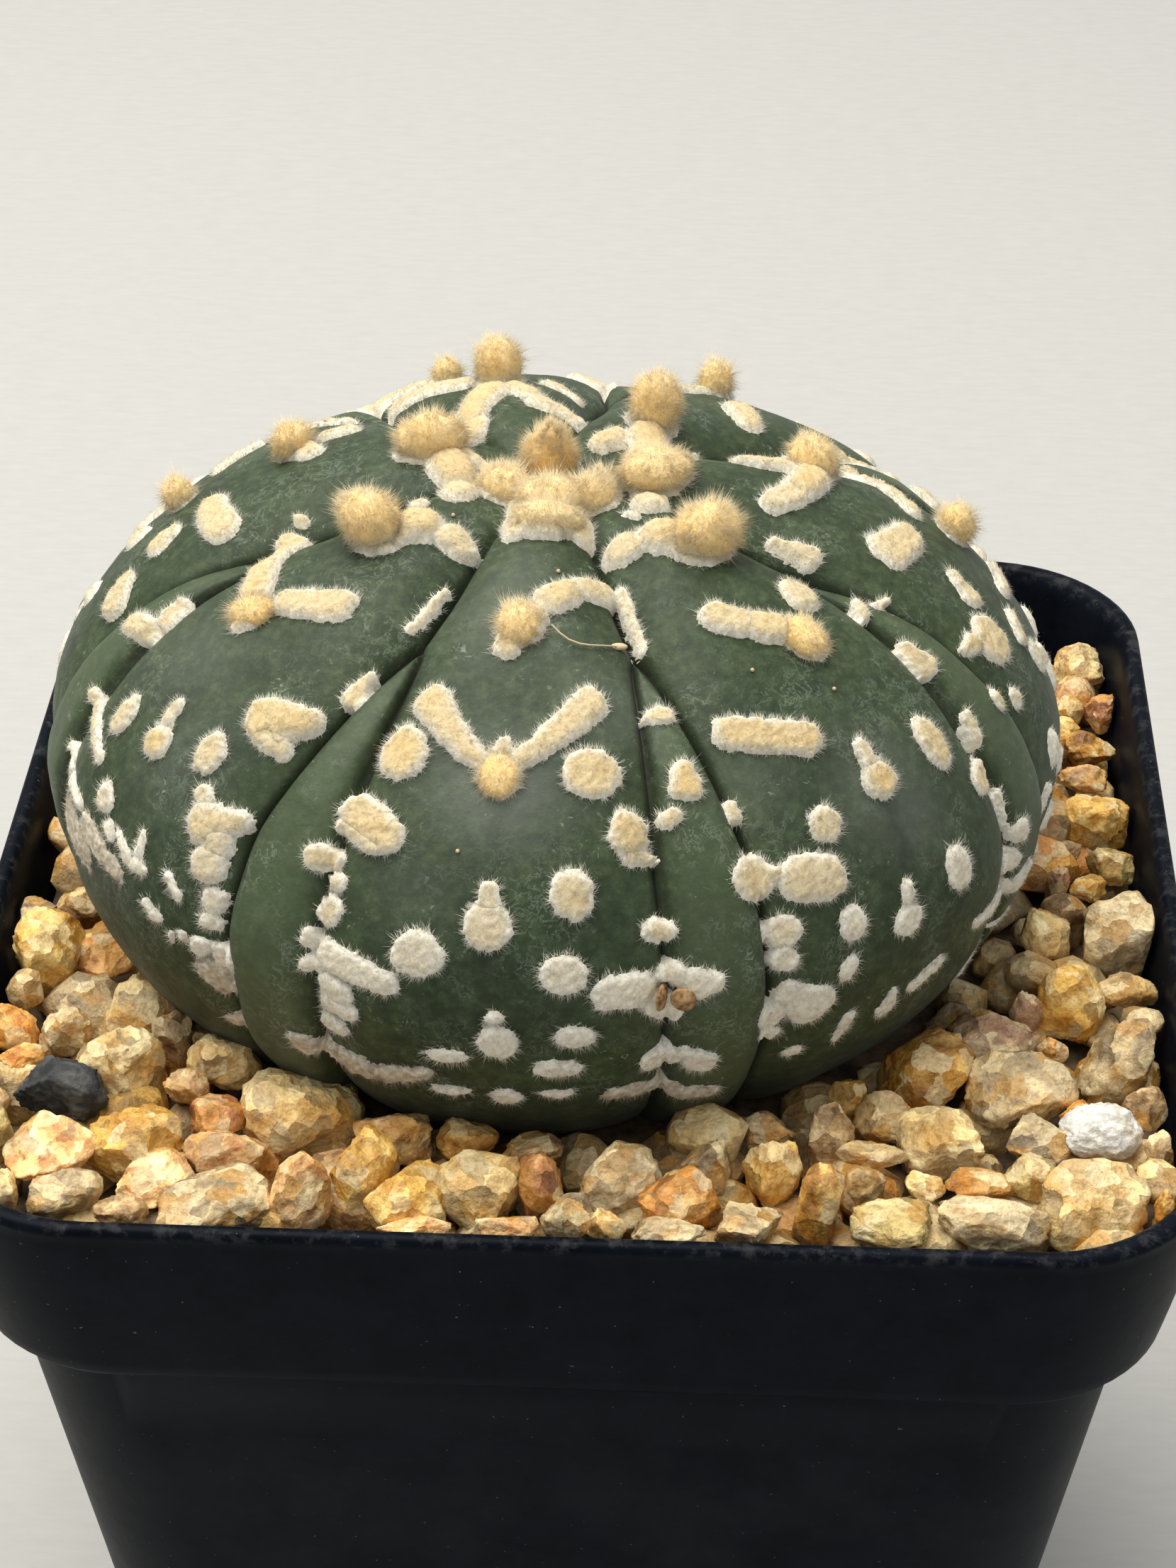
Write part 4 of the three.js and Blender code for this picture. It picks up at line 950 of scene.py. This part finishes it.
def makePotMaterial():  # black plastic with a few specks, a lip that is pale in patches, partly scuffed and partly a painted highlight line, and a dusty film below the band
    plastic = newMaterial("potPlastic", Roughness=0.45, Specular_IOR_Level=0.05)
    dust = objectNoise(plastic, 260, 5, 0.7)
    specks = fadeIn(plastic, objectNoise(plastic, 3400, 1, 0.4), 0.785, 0.81, 0.5)
    tone = mixOf(plastic, specks, rampOf(plastic, dust, *pot["blacks"]), pot["speck"])
    # pale patches on the top of the lip: partly wear, partly a painted highlight
    wearAndHighlightPatches = fadeIn(plastic, objectNoise(plastic, 900, 4, 0.7), 0.5, 0.64, 0.5)
    lip = timesOf(plastic, wearAndHighlightPatches, between(plastic, pot["height"] - 0.9, pot["height"] - 0.2))
    tone = mixOf(plastic, lip, tone, pot["lipWearAndHighlight"])
    bandFoot = pot["height"] - pot["bandHeight"]
    film = rampOf(plastic, objectNoise(plastic, 120, 4, 0.7), (0.4, grey(0.15)), (0.7, grey(0.5)))
    film = timesOf(plastic, film, between(plastic, bandFoot, bandFoot - pot["filmDepth"]))
    joinTo(plastic, "Base Color", mixOf(plastic, film, tone, pot["film"]))
    gloss = addNode(plastic, "MapRange", {"Value": dust}, To_Min=0.34, To_Max=0.55)
    joinTo(plastic, "Roughness", (gloss, "Result"))
    joinTo(plastic, "Normal", bumpOf(plastic, objectNoise(plastic, 700, 4), 0.12, 0.0002))
    return plastic


def makePot():
    top, band, hollow = pot["height"], pot["bandHeight"], 2 * pot["wall"]
    bandFoot = top - band
    levels = [(pot["footHeight"] + up, pot["baseWidth"] + out) for up, out in pot["heel"]]
    levels += [(z, potWidth(z)) for z in pot["bodyRows"]]
    levels += [(bandFoot + up, pot["bodyTopWidth"] + out) for up, out in pot["step"]]
    for up in pot["bandRows"]:
        z = bandFoot + band * up
        levels.append((z, potWidth(z) + pot["bandBulge"] * math.sin(math.pi * up)))
    levels += [(top + up, pot["width"] + out) for up, out in pot["lip"]]
    levels += [(z, potWidth(z) - hollow) for z in (top - pot["wall"], bandFoot + pot["wall"])]
    low = pot["bodyRows"][0]
    levels += [(bandFoot, potWidth(bandFoot - 2) - hollow), (low, potWidth(low) - hollow)]
    levels.append((pot["footHeight"] + pot["floor"], pot["baseWidth"] - hollow))
    bm = bmesh.new()
    stackSquares(bm, pot["cornerRadius"] * pot["baseWidth"] / pot["width"], levels)
    footMiddle = pot["baseWidth"] / 2 - pot["footWidth"] / 2 - pot["footInset"]
    for x in (-footMiddle, footMiddle):
        for y in (-footMiddle, footMiddle):
            foot = [(up, pot["footWidth"] + out) for up, out in pot["foot"]]
            stackSquares(bm, pot["footRadius"], foot, (x, y))
    bmesh.ops.recalc_face_normals(bm, faces=bm.faces)
    whole = bpy.data.objects.new("pot_shell", meshOf("pot_shell", bm))
    bm = bmesh.new()
    for x, y in ((0, 0), (1, 0), (-1, 0), (0, 1), (0, -1)):
        place = Matrix.Translation((x * pot["drainPitch"], y * pot["drainPitch"], pot["footHeight"]))
        drain = pot["drainWidth"] / 2
        bmesh.ops.create_cone(bm, segments=32, radius1=drain, radius2=drain, depth=8, cap_ends=True,
                              matrix=place)
    drains = bpy.data.objects.new("drains", meshOf("drains", bm))
    for thing in (whole, drains):
        bpy.context.scene.collection.objects.link(thing)
    cut = whole.modifiers.new("drain holes", "BOOLEAN")
    cut.operation = "DIFFERENCE"
    cut.object = drains
    drilled = whole.evaluated_get(bpy.context.evaluated_depsgraph_get())
    mesh = bpy.data.meshes.new_from_object(drilled)
    bpy.data.objects.remove(whole)
    bpy.data.objects.remove(drains)
    addPiece("pot_shell", mesh, makePotMaterial(), "pot_plastic", "pot")
    mesh.set_sharp_from_angle(angle=math.radians(50))


# Gravel: stones read off the photo, then a seeded fill behind and beneath them

tones = dict(  # the body of the stone, milky patches on it and stains
    cream=((0.74, 0.58, 0.32), (0.9, 0.8, 0.56), (0.6, 0.37, 0.12)),
    pale=((0.6, 0.5, 0.34), (0.88, 0.8, 0.62), (0.55, 0.38, 0.18)),
    honey=((0.7, 0.45, 0.13), (0.88, 0.7, 0.34), (0.5, 0.25, 0.04)),
    orange=((0.6, 0.29, 0.07), (0.82, 0.55, 0.24), (0.4, 0.14, 0.02)),
    amber=((0.46, 0.24, 0.05), (0.72, 0.5, 0.18), (0.24, 0.1, 0.02)),
    peach=((0.74, 0.48, 0.25), (0.9, 0.72, 0.48), (0.62, 0.28, 0.1)),
    rust=((0.42, 0.19, 0.08), (0.72, 0.42, 0.2), (0.2, 0.07, 0.03)),
    grey=((0.38, 0.31, 0.21), (0.74, 0.63, 0.44), (0.5, 0.33, 0.13)),
    tan=((0.52, 0.37, 0.18), (0.78, 0.62, 0.36), (0.4, 0.22, 0.08)),
    brown=((0.32, 0.22, 0.12), (0.6, 0.46, 0.28), (0.2, 0.11, 0.05)),
    mauve=((0.34, 0.23, 0.17), (0.62, 0.48, 0.36), (0.24, 0.12, 0.08)),
    olive=((0.4, 0.33, 0.15), (0.74, 0.64, 0.36), (0.3, 0.2, 0.07)),
)

gravel = dict(
    level=64.6, slope=0.045, stoneSize=5.0, bedDrop=2.6, bedRadius=8.2, bedRows=(58.0, 60.0, 61.0),
    seenRise=0.9, seenSinks=0.12,
    # x, y, width across the view and height on it in millimetres, turn in degrees, tone
    seen=[
        (-33.4, -9.4, 5.6, 6.0, 60, "honey"), (-35, -5, 3, 1.8, 0, "brown"),
        (-29.6, -8.1, 6.3, 3.8, 20, "orange"), (-31.9, -3.7, 2.8, 1.9, 0, "tan"),
        (-26.2, -14.8, 6.8, 6.4, 60, "cream"), (-24.4, -17.8, 3.3, 3.9, 80, "brown"),
        (-34, -17.2, 3.4, 3.4, 0, "orange"), (-30.8, -17.1, 3.2, 3.1, 0, "pale"),
        (-33.1, -20.3, 2.8, 1.6, 0, "orange"), (-26.6, -21, 5.2, 4.9, 30, "cream"),
        (-34.4, -22.6, 1.6, 2.6, 90, "pale"), (-33, -27.7, 2.6, 4, 90, "olive"),
        (-22.7, -22.8, 3, 2.6, 0, "peach"), (-20.6, -25.8, 3.5, 3.1, 40, "rust"),
        (-21, -20.2, 4.6, 3.9, 0, "cream"), (-15.3, -24.4, 7.6, 6.3, 15, "cream"),
        (-25, -28.2, 6.1, 4.8, -15, "honey"), (-30, -28.6, 5.8, 3.2, -5, "peach"),
        (-19.8, -28.7, 5.1, 3.6, 10, "peach"), (-28.4, -33, 4.2, 3.5, 0, "grey"),
        (-23.6, -31.4, 5, 3.1, 25, "peach"), (-20, -33.1, 6.6, 3.8, 0, "grey"),
        (-24.8, -34.6, 3.2, 1.6, 0, "brown"), (-32, -33.2, 2.4, 3, 90, "cream"),
        (-14.8, -32.5, 4.2, 4.6, 80, "peach"), (-11.3, -30.4, 4.2, 5.4, 80, "honey"),
        (-9.9, -26.7, 4.7, 3.5, 0, "tan"), (-5.8, -26.8, 3.7, 2.6, 0, "amber"),
        (-8.6, -32.2, 5.2, 4.6, 30, "honey"), (-4.7, -31.4, 5.2, 5.2, 0, "cream"),
        (-8.1, -35.2, 4.3, 1.4, 0, "peach"), (-2.9, -34.8, 3.7, 1.6, 0, "peach"),
        (-1.2, -30.8, 3.8, 4.9, 80, "rust"), (-2, -27.8, 3.6, 2.4, 0, "brown"),
        (0.6, -33.6, 3.4, 3.2, 0, "grey"), (2.9, -30, 5.1, 5, 20, "pale"),
        (6.4, -31.9, 4.7, 4.3, -30, "orange"), (6.4, -34.8, 4.3, 1.7, 0, "pale"),
        (2.6, -34.5, 2.2, 2.4, 0, "cream"), (8.3, -28.6, 3.4, 3.9, 70, "grey"),
        (12, -28.6, 4.2, 4.7, 60, "honey"), (11.6, -25.2, 3.1, 2.4, 0, "brown"),
        (15.2, -25.6, 3.4, 4.8, 80, "brown"), (16.6, -21.8, 2.4, 2.5, 0, "honey"),
        (21, -18.8, 6.2, 5.4, 30, "amber"), (18.6, -23.5, 3.9, 3.4, 0, "tan"),
        (10.4, -33.9, 3.9, 2.7, 0, "grey"), (14.6, -32, 3.4, 5.6, 60, "amber"),
        (17.4, -29.8, 2.5, 2.8, 0, "tan"), (17.7, -27.2, 4.2, 1.7, 10, "tan"),
        (18.6, -33.6, 4.7, 2.9, 0, "olive"), (22.2, -25.4, 5.5, 4.1, -10, "cream"),
        (20.6, -30.1, 2.4, 1.8, 0, "cream"), (23.9, -29.5, 4, 2.2, 0, "orange"),
        (24.2, -33, 6.6, 3.1, 0, "pale"), (26.6, -20.6, 7, 4.9, -15, "grey"),
        (27.4, -25.2, 4.4, 3.6, 10, "grey"), (26.6, -28.8, 3.3, 3.1, 0, "olive"),
        (25.8, -15.5, 5.8, 3.7, -30, "mauve"), (27.4, -12.2, 2.5, 3, 80, "mauve"),
        (30.2, -11.4, 4.3, 4.5, 0, "honey"), (29.4, -4.2, 3.3, 3.9, 0, "cream"),
        (33.6, -3.8, 5.8, 6.2, 60, "pale"), (33.6, 35.3, 3.9, 2.4, 0, "mauve"),
        (34, 28.9, 4.9, 4, 0, "cream"), (35.2, 23.3, 3.1, 2.7, 0, "rust"), (32.6, 23.4, 2, 2.2, 0, "honey"),
        (33.7, 18.5, 3.8, 2.9, 10, "amber"), (33, 14.4, 3.4, 2.4, 0, "peach"),
        (33.5, 9.7, 4.7, 3.9, 0, "honey"), (34, 4.2, 3.4, 2.7, 0, "olive"), (31.4, 5.3, 1.8, 1.5, 0, "brown"),
        (30.4, 1.6, 1.8, 3, 90, "mauve"), (32.4, 1.1, 2.4, 1.8, 0, "honey"),
        (28.9, -16.6, 1.9, 1.6, 0, "orange"), (32.8, -17, 6, 6, 40, "grey"),
        (33.9, -10.2, 4.4, 2.3, 0, "tan"), (29.9, -22.8, 2.1, 1.8, 0, "orange"),
        (34, -21.8, 2.8, 2.6, 0, "brown"), (34.3, -26, 1.9, 2.4, 90, "peach"),
        (30.6, -31, 6.6, 4.9, 5, "cream"), (27.9, -29.4, 1.5, 1.4, 0, "orange"),
        (34.2, -31.5, 1.6, 2.5, 90, "amber"),
    ],
    fillTones=("cream", "cream", "honey", "honey", "tan", "peach", "grey", "orange", "pale", "amber",
               "brown"),
    depthShown=0.57, heightShown=0.82,  # how much of a stone's depth and height the photo's view shows
    layers=((0, 0.0), (1, 2.3)), tries=2600, crowding=0.42,  # a layer's number and how deep it lies
    fillSizes=(0.55, 1.25), fillSpans=((1, 1.35), (0.85, 1.1), (0.7, 0.95)), fillRise=(0.1, 0.9),
    fillFacets=7, layerShade=0.25, plantFoot=0.98, underPlant=1.5, wallShare=0.45,
    milk=(0.92, 0.78, 0.48), iron=(0.62, 0.33, 0.06),
    crystals=((0.0, (0.66, 0.62, 0.55)), (0.3, (0.98, 0.91, 0.75)), (0.6, (1.25, 1.18, 0.98)),
              (0.85, (1.5, 1.43, 1.2))),
    grain=((0.3, (0.62, 0.55, 0.45)), (0.52, (1.0, 0.97, 0.92)), (0.7, (1.25, 1.2, 1.1))),
    # the grit's dark tones are painted shade in the gaps between the stones
    shadedGrit=((0.35, (0.03, 0.02, 0.012)), (0.7, (0.2, 0.13, 0.07))),
)

stoneForm = dict(  # in widths of the stone
    swelling=0.09, cuts=(0.27, 0.42), cutShare=0.85, roughness=0.03, tilt=0.25, light=(0.85, 1.1),
    milky=(-0.05, 0.4), milkShare=0.85, stained=(0.15, 0.5), stainShare=0.8,
)


def gravelLevel(y):
    return gravel["level"] - gravel["slope"] * y


def withinPot(points):  # keeps a stone inside the wall
    lowest = pot["height"] - pot["bandHeight"] + pot["wall"] + 0.1
    gap = pot["wall"] + pot["clearance"]
    reach = np.array([potWidth(max(z, lowest)) / 2 - gap for z in points[:, 2]])
    radius = pot["cornerRadius"] - gap
    inner = reach - radius
    sign = np.sign(points[:, :2])
    over = np.maximum(np.abs(points[:, :2]) - inner[:, None], 0)
    far = np.linalg.norm(over, axis=1)
    squeeze = np.where(far > radius, radius / np.maximum(far, 1e-6), 1)
    inside = np.minimum(np.abs(points[:, :2]), inner[:, None] + over * squeeze[:, None])
    points[:, :2] = sign * inside
    return points


def stoneOf(shape, place, size, turn, tone, facets=10, crumble=0.06):
    corners, faces = shape
    points = corners * 0.5
    seed = rng.uniform(0, 100)
    points = points + corners * (stoneForm["swelling"] * ripple(corners, 1.1, seed))[:, None]
    for _ in range(facets):  # broken faces
        direction = rng.normal(0, 1, 3)
        direction /= np.linalg.norm(direction)
        depth = points @ direction - rng.uniform(*stoneForm["cuts"])
        points = points - np.where(depth > 0, depth * stoneForm["cutShare"], 0)[:, None] * direction
    broken = np.abs(ripple(corners, 3.2, seed + 4)) + 0.6 * np.abs(ripple(corners, 6.5, seed + 9))
    rough = stoneForm["roughness"] * ripple(corners, 2.6, seed)
    rough += stoneForm["roughness"] * ripple(corners, 9, seed)
    rough -= crumble * broken
    points = points + corners * rough[:, None]
    points /= np.ptp(points, axis=0)
    tilt = rng.uniform(-stoneForm["tilt"], stoneForm["tilt"])
    turned = Matrix.Rotation(math.radians(turn), 3, "Z") @ Matrix.Rotation(tilt, 3, "X")
    body, milk, stain = (np.array(colour) for colour in tones[tone])
    patchy = ripple(corners, 1.3, seed + 7) + 0.5 * ripple(corners, 3.5, seed)
    milky = smoothstep(patchy, *stoneForm["milky"])[:, None] * stoneForm["milkShare"]
    patchy = ripple(corners, 1.5, seed + 21) + 0.5 * ripple(corners, 4, seed)
    stained = smoothstep(patchy, *stoneForm["stained"])[:, None] * stoneForm["stainShare"]
    colour = body + (milk - body) * milky
    colour = (colour + (stain - colour) * stained) * rng.uniform(*stoneForm["light"])
    return (points * size) @ np.array(turned).T + place, faces, colour


def depthOf(width, tall):  # a stone's depth and its thickness, from its width and its height on the picture
    shown = gravel["depthShown"]
    deep = 0.85 * width if tall > 0.55 * width else 0.7 * tall / shown
    thick = math.sqrt(max(tall ** 2 - (shown * deep) ** 2, (0.4 * tall) ** 2)) / gravel["heightShown"]
    return deep, thick


def makeGravelMaterial():  # crystals with edges that wander, some of them rusty or milky
    stone = newMaterial("quartz", Roughness=0.42, Specular_IOR_Level=0.5, Subsurface_Weight=0.18,
                        Subsurface_Scale=0.0012)
    wander = objectNoise(stone, 700, 3, 0.6)[0], "Color"
    shift = addNode(stone, "VectorMath", {0: wander}, operation="SCALE", Scale=0.0011)
    moved = addNode(stone, "VectorMath", {0: objectPlace(stone), 1: (shift, "Vector")}, operation="ADD")
    crystals = addNode(stone, "TexVoronoi", {"Vector": (moved, "Vector")}, Scale=850)
    own = addNode(stone, "SeparateColor", {"Color": (crystals, "Color")})
    fine = objectNoise(stone, 2600, 4, 0.75)
    tone = timesOf(stone, attribute(stone, "tint"), rampOf(stone, (own, "Red"), *gravel["crystals"]))
    tone = mixOf(stone, fadeIn(stone, (own, "Green"), 0.76, 0.84, 0.55), tone, gravel["iron"])
    tone = mixOf(stone, fadeIn(stone, (own, "Blue"), 0.74, 0.84, 0.6), tone, gravel["milk"])
    joinTo(stone, "Base Color", timesOf(stone, tone, rampOf(stone, fine, *gravel["grain"])))
    rough = bumpOf(stone, fine, 0.5, 0.0003)
    joinTo(stone, "Normal", bumpOf(stone, (crystals, "Distance"), 0.7, 0.0006, Normal=rough))
    return stone


def plantReach(x, y):  # how far a place lies from the plant's middle, with the plant's flattening taken out
    return np.hypot(x - plant["centre"][0], (y - plant["centre"][1]) / plant["depthRatio"])


def seenStone(shape, x, y, width, tall, turn, tone):
    deep, thick = depthOf(width, tall)
    place = (x, y, gravelLevel(y) + gravel["seenRise"] - gravel["seenSinks"] * thick)
    if abs(turn) < 45:
        return stoneOf(shape, place, (width, deep, thick), turn, tone)
    return stoneOf(shape, place, (deep, width, thick), turn - 90, tone)


def fillLayer(shape, layer, drop, laid):  # stones of chance size and place, where none has been laid
    stones = []
    for _ in range(gravel["tries"]):
        size = gravel["stoneSize"] * rng.uniform(*gravel["fillSizes"])
        reach = pot["width"] / 2 - pot["wall"] - pot["clearance"] - size * gravel["wallShare"]
        x, y = rng.uniform(-reach, reach, 2)
        edge = section(gravel["plantFoot"])[0] - gravel["underPlant"] * layer
        if plantReach(x, y) < edge + gravel["crowding"] * size:
            continue
        if any(math.hypot(x - a, y - b) < gravel["crowding"] * (size + other) for a, b, other in laid):
            continue
        laid.append((x, y, size))
        across = size * np.array([rng.uniform(*span) for span in gravel["fillSpans"]])
        place = (x, y, gravelLevel(y) + rng.uniform(*gravel["fillRise"]) - drop)
        tone = gravel["fillTones"][rng.integers(len(gravel["fillTones"]))]
        turn = rng.uniform(0, 180)
        corners, faces, colour = stoneOf(shape, place, across, turn, tone, gravel["fillFacets"])
        stones.append((withinPot(corners), faces, colour * (1 - gravel["layerShade"] * layer)))
    return stones


def makeGravel():
    fine = shapeOf(bmesh.ops.create_icosphere, subdivisions=4, radius=1)
    plain = shapeOf(bmesh.ops.create_icosphere, subdivisions=2, radius=1)
    top, laid = [], []
    for x, y, width, tall, turn, tone in gravel["seen"]:
        corners, faces, colour = seenStone(fine, x, y, width, tall, turn, tone)
        top.append((withinPot(corners), faces, colour))
        laid.append((x, y, (width + depthOf(width, tall)[0]) / 2))
    laid += [(*odd["place"][:2], odd["size"][0]) for odd in oddStones.values()]
    fill = []
    for layer, drop in gravel["layers"]:
        fill += fillLayer(plain, layer, drop, [] if layer else laid)
    print("stones", len(top), len(fill))
    material = makeGravelMaterial()
    for name, stones in (("gravel_top", top), ("gravel_fill", fill)):
        addPiece(name, meshOfCopies(name, stones), material, "gravel", "gravel_dressing")
    makeBed()


def makeBed():  # rough grit between the stones, down to the soil, coloured dark as painted shade in the gaps between the stones
    bm = bmesh.new()
    inside = 2 * (pot["wall"] + pot["clearance"])
    high = gravel["level"] - gravel["bedDrop"]
    levels = [(z, potWidth(z) - inside) for z in (*gravel["bedRows"], high)]
    stackSquares(bm, gravel["bedRadius"], levels)
    for vert in bm.verts:
        if vert.co.z > high - 0.01:
            vert.co.z = gravelLevel(vert.co.y) - gravel["bedDrop"]
    bmesh.ops.recalc_face_normals(bm, faces=bm.faces)
    mesh = meshOf("gravel_grit", bm)
    # painted shade: the bed is dark where it shows between the stones
    shadedGrit = newMaterial("shadedGrit", Roughness=0.9)
    joinTo(shadedGrit, "Base Color", rampOf(shadedGrit, objectNoise(shadedGrit, 700, 4), *gravel["shadedGrit"]))
    addPiece("gravel_grit", mesh, shadedGrit, "gravel", "gravel_dressing")
    mesh.set_sharp_from_angle(angle=math.radians(40))


oddStones = dict(
    dark_stone=dict(
        place=(-30, -23.4, 66.6), size=(5.6, 4.6, 3.8), turn=12, slot="dark_gravel",
        tones=((0.05, 0.052, 0.053), (0.13, 0.132, 0.125), (0.02, 0.021, 0.022)), facets=12,
    ),
    white_stone=dict(
        place=(31.0, -24.6, 66.6), size=(4.9, 3.9, 3.3), turn=8, slot="white_gravel",
        tones=((0.88, 0.85, 0.76), (0.95, 0.93, 0.87), (0.66, 0.6, 0.48)), facets=2,
    ),
)


def makeOddMaterial(name):
    stone = newMaterial(name, Roughness=0.8, Specular_IOR_Level=0.3)
    grain = objectNoise(stone, 1500, 4, 0.7)
    light = rampOf(stone, grain, (0.35, grey(0.6)), (0.65, grey(1.15)))
    joinTo(stone, "Base Color", timesOf(stone, attribute(stone, "tint"), light))
    joinTo(stone, "Normal", bumpOf(stone, grain, 0.6, 0.0004))
    return stone


def makeOddStones():
    shape = shapeOf(bmesh.ops.create_icosphere, subdivisions=5, radius=1)
    for name, odd in oddStones.items():
        tones[name] = odd["tones"]
        stone = stoneOf(shape, odd["place"], odd["size"], odd["turn"], name, odd["facets"], 0.05)
        mesh = meshOfCopies(name + "_rough", [stone])
        addPiece(name + "_rough", mesh, makeOddMaterial(name), odd["slot"], name)


soilTones = ((0.3, (0.012, 0.008, 0.005)), (0.6, (0.05, 0.032, 0.02)), (0.75, (0.13, 0.09, 0.055)))


def dressSoil():
    soil = newMaterial("pottingMix", Roughness=0.95, Specular_IOR_Level=0.2)
    crumbs = objectNoise(soil, 500, 5, 0.7)
    joinTo(soil, "Base Color", rampOf(soil, crumbs, *soilTones))
    joinTo(soil, "Normal", bumpOf(soil, crumbs, 0.8, 0.001))
    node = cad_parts["potting_soil"]
    node.data.materials.clear()
    node.data.materials.append(soil)


# Floor, camera and light

view = dict(  # as in the photo, set by the pot's rim and the lower edge of its band
    place=(7.94, -183.34, 200.45), forward=(-0.0354, 0.821, -0.5699), up=(-0.0276, 0.5692, 0.8217),
    lens=81.04, sensor=36.0,
)
studio = dict(
    floorSize=1600, floorTone=(0.485, 0.478, 0.452), aim=(0, 0, 75),
    fillTone=(0.96, 0.98, 1.0), fillStrength=0.58,
    # place, size, power and colour
    lamps=dict(
        key=((-150, 120, 620), 560, 5.8, (1.0, 0.97, 0.91)),
        front=((60, -520, 420), 420, 0.15, (1.0, 0.98, 0.95)),
    ),
)


def makeStage():
    bm = bmesh.new()
    bmesh.ops.create_grid(bm, x_segments=1, y_segments=1, size=studio["floorSize"] / 2)
    mesh = meshOf("floor", bm)
    mesh.transform(Matrix.Scale(mm, 4))
    paper = newMaterial("paper", Roughness=0.9, Specular_IOR_Level=0.1)
    stretched = addNode(paper, "Mapping", {"Vector": objectPlace(paper)}, Scale=(1, 4, 1))
    weave = addNode(paper, "TexNoise", {"Vector": (stretched, "Vector")}, Scale=260, Detail=4, Roughness=0.7)
    shade = rampOf(paper, (weave, "Fac"), (0.35, grey(0.965)), (0.65, grey(1.02)))
    joinTo(paper, "Base Color", timesOf(paper, studio["floorTone"], shade))
    mesh.materials.append(paper)
    floor = bpy.data.objects.new("floor", mesh)
    bpy.context.scene.collection.objects.link(floor)
    for name, (place, size, power, colour) in studio["lamps"].items():
        light = bpy.data.lights.new(name, "AREA")
        light.size = size * mm
        light.energy = power
        light.color = colour
        lamp = bpy.data.objects.new(name, light)
        lamp.location = Vector(place) * mm
        lamp.rotation_euler = (Vector(studio["aim"]) - Vector(place)).to_track_quat("-Z", "Y").to_euler()
        bpy.context.scene.collection.objects.link(lamp)
    world = bpy.context.scene.world or bpy.data.worlds.new("room")
    bpy.context.scene.world = world
    world.use_nodes = True
    background = world.node_tree.nodes["Background"]
    background.inputs["Color"].default_value = (*studio["fillTone"], 1)
    background.inputs["Strength"].default_value = studio["fillStrength"]


def makeCamera():
    lens = bpy.data.cameras.new("camera")
    lens.lens = view["lens"]
    lens.sensor_width = view["sensor"]
    lens.clip_start = 0.01
    camera = bpy.data.objects.new("camera", lens)
    forward, up = Vector(view["forward"]).normalized(), Vector(view["up"]).normalized()
    turn = Matrix((forward.cross(up), up, -forward)).transposed()
    camera.matrix_world = Matrix.Translation(Vector(view["place"]) * mm) @ turn.to_4x4()
    bpy.context.scene.collection.objects.link(camera)
    bpy.context.scene.camera = camera


makeSkin()
print("skin ready")
makeWool()
makeScars()
makeFilament()
print("wool ready")
makePot()
print("pot ready")
makeGravel()
makeOddStones()
dressSoil()
print("gravel ready")
makeStage()
makeCamera()
bpy.context.scene.view_settings.view_transform = "Standard"
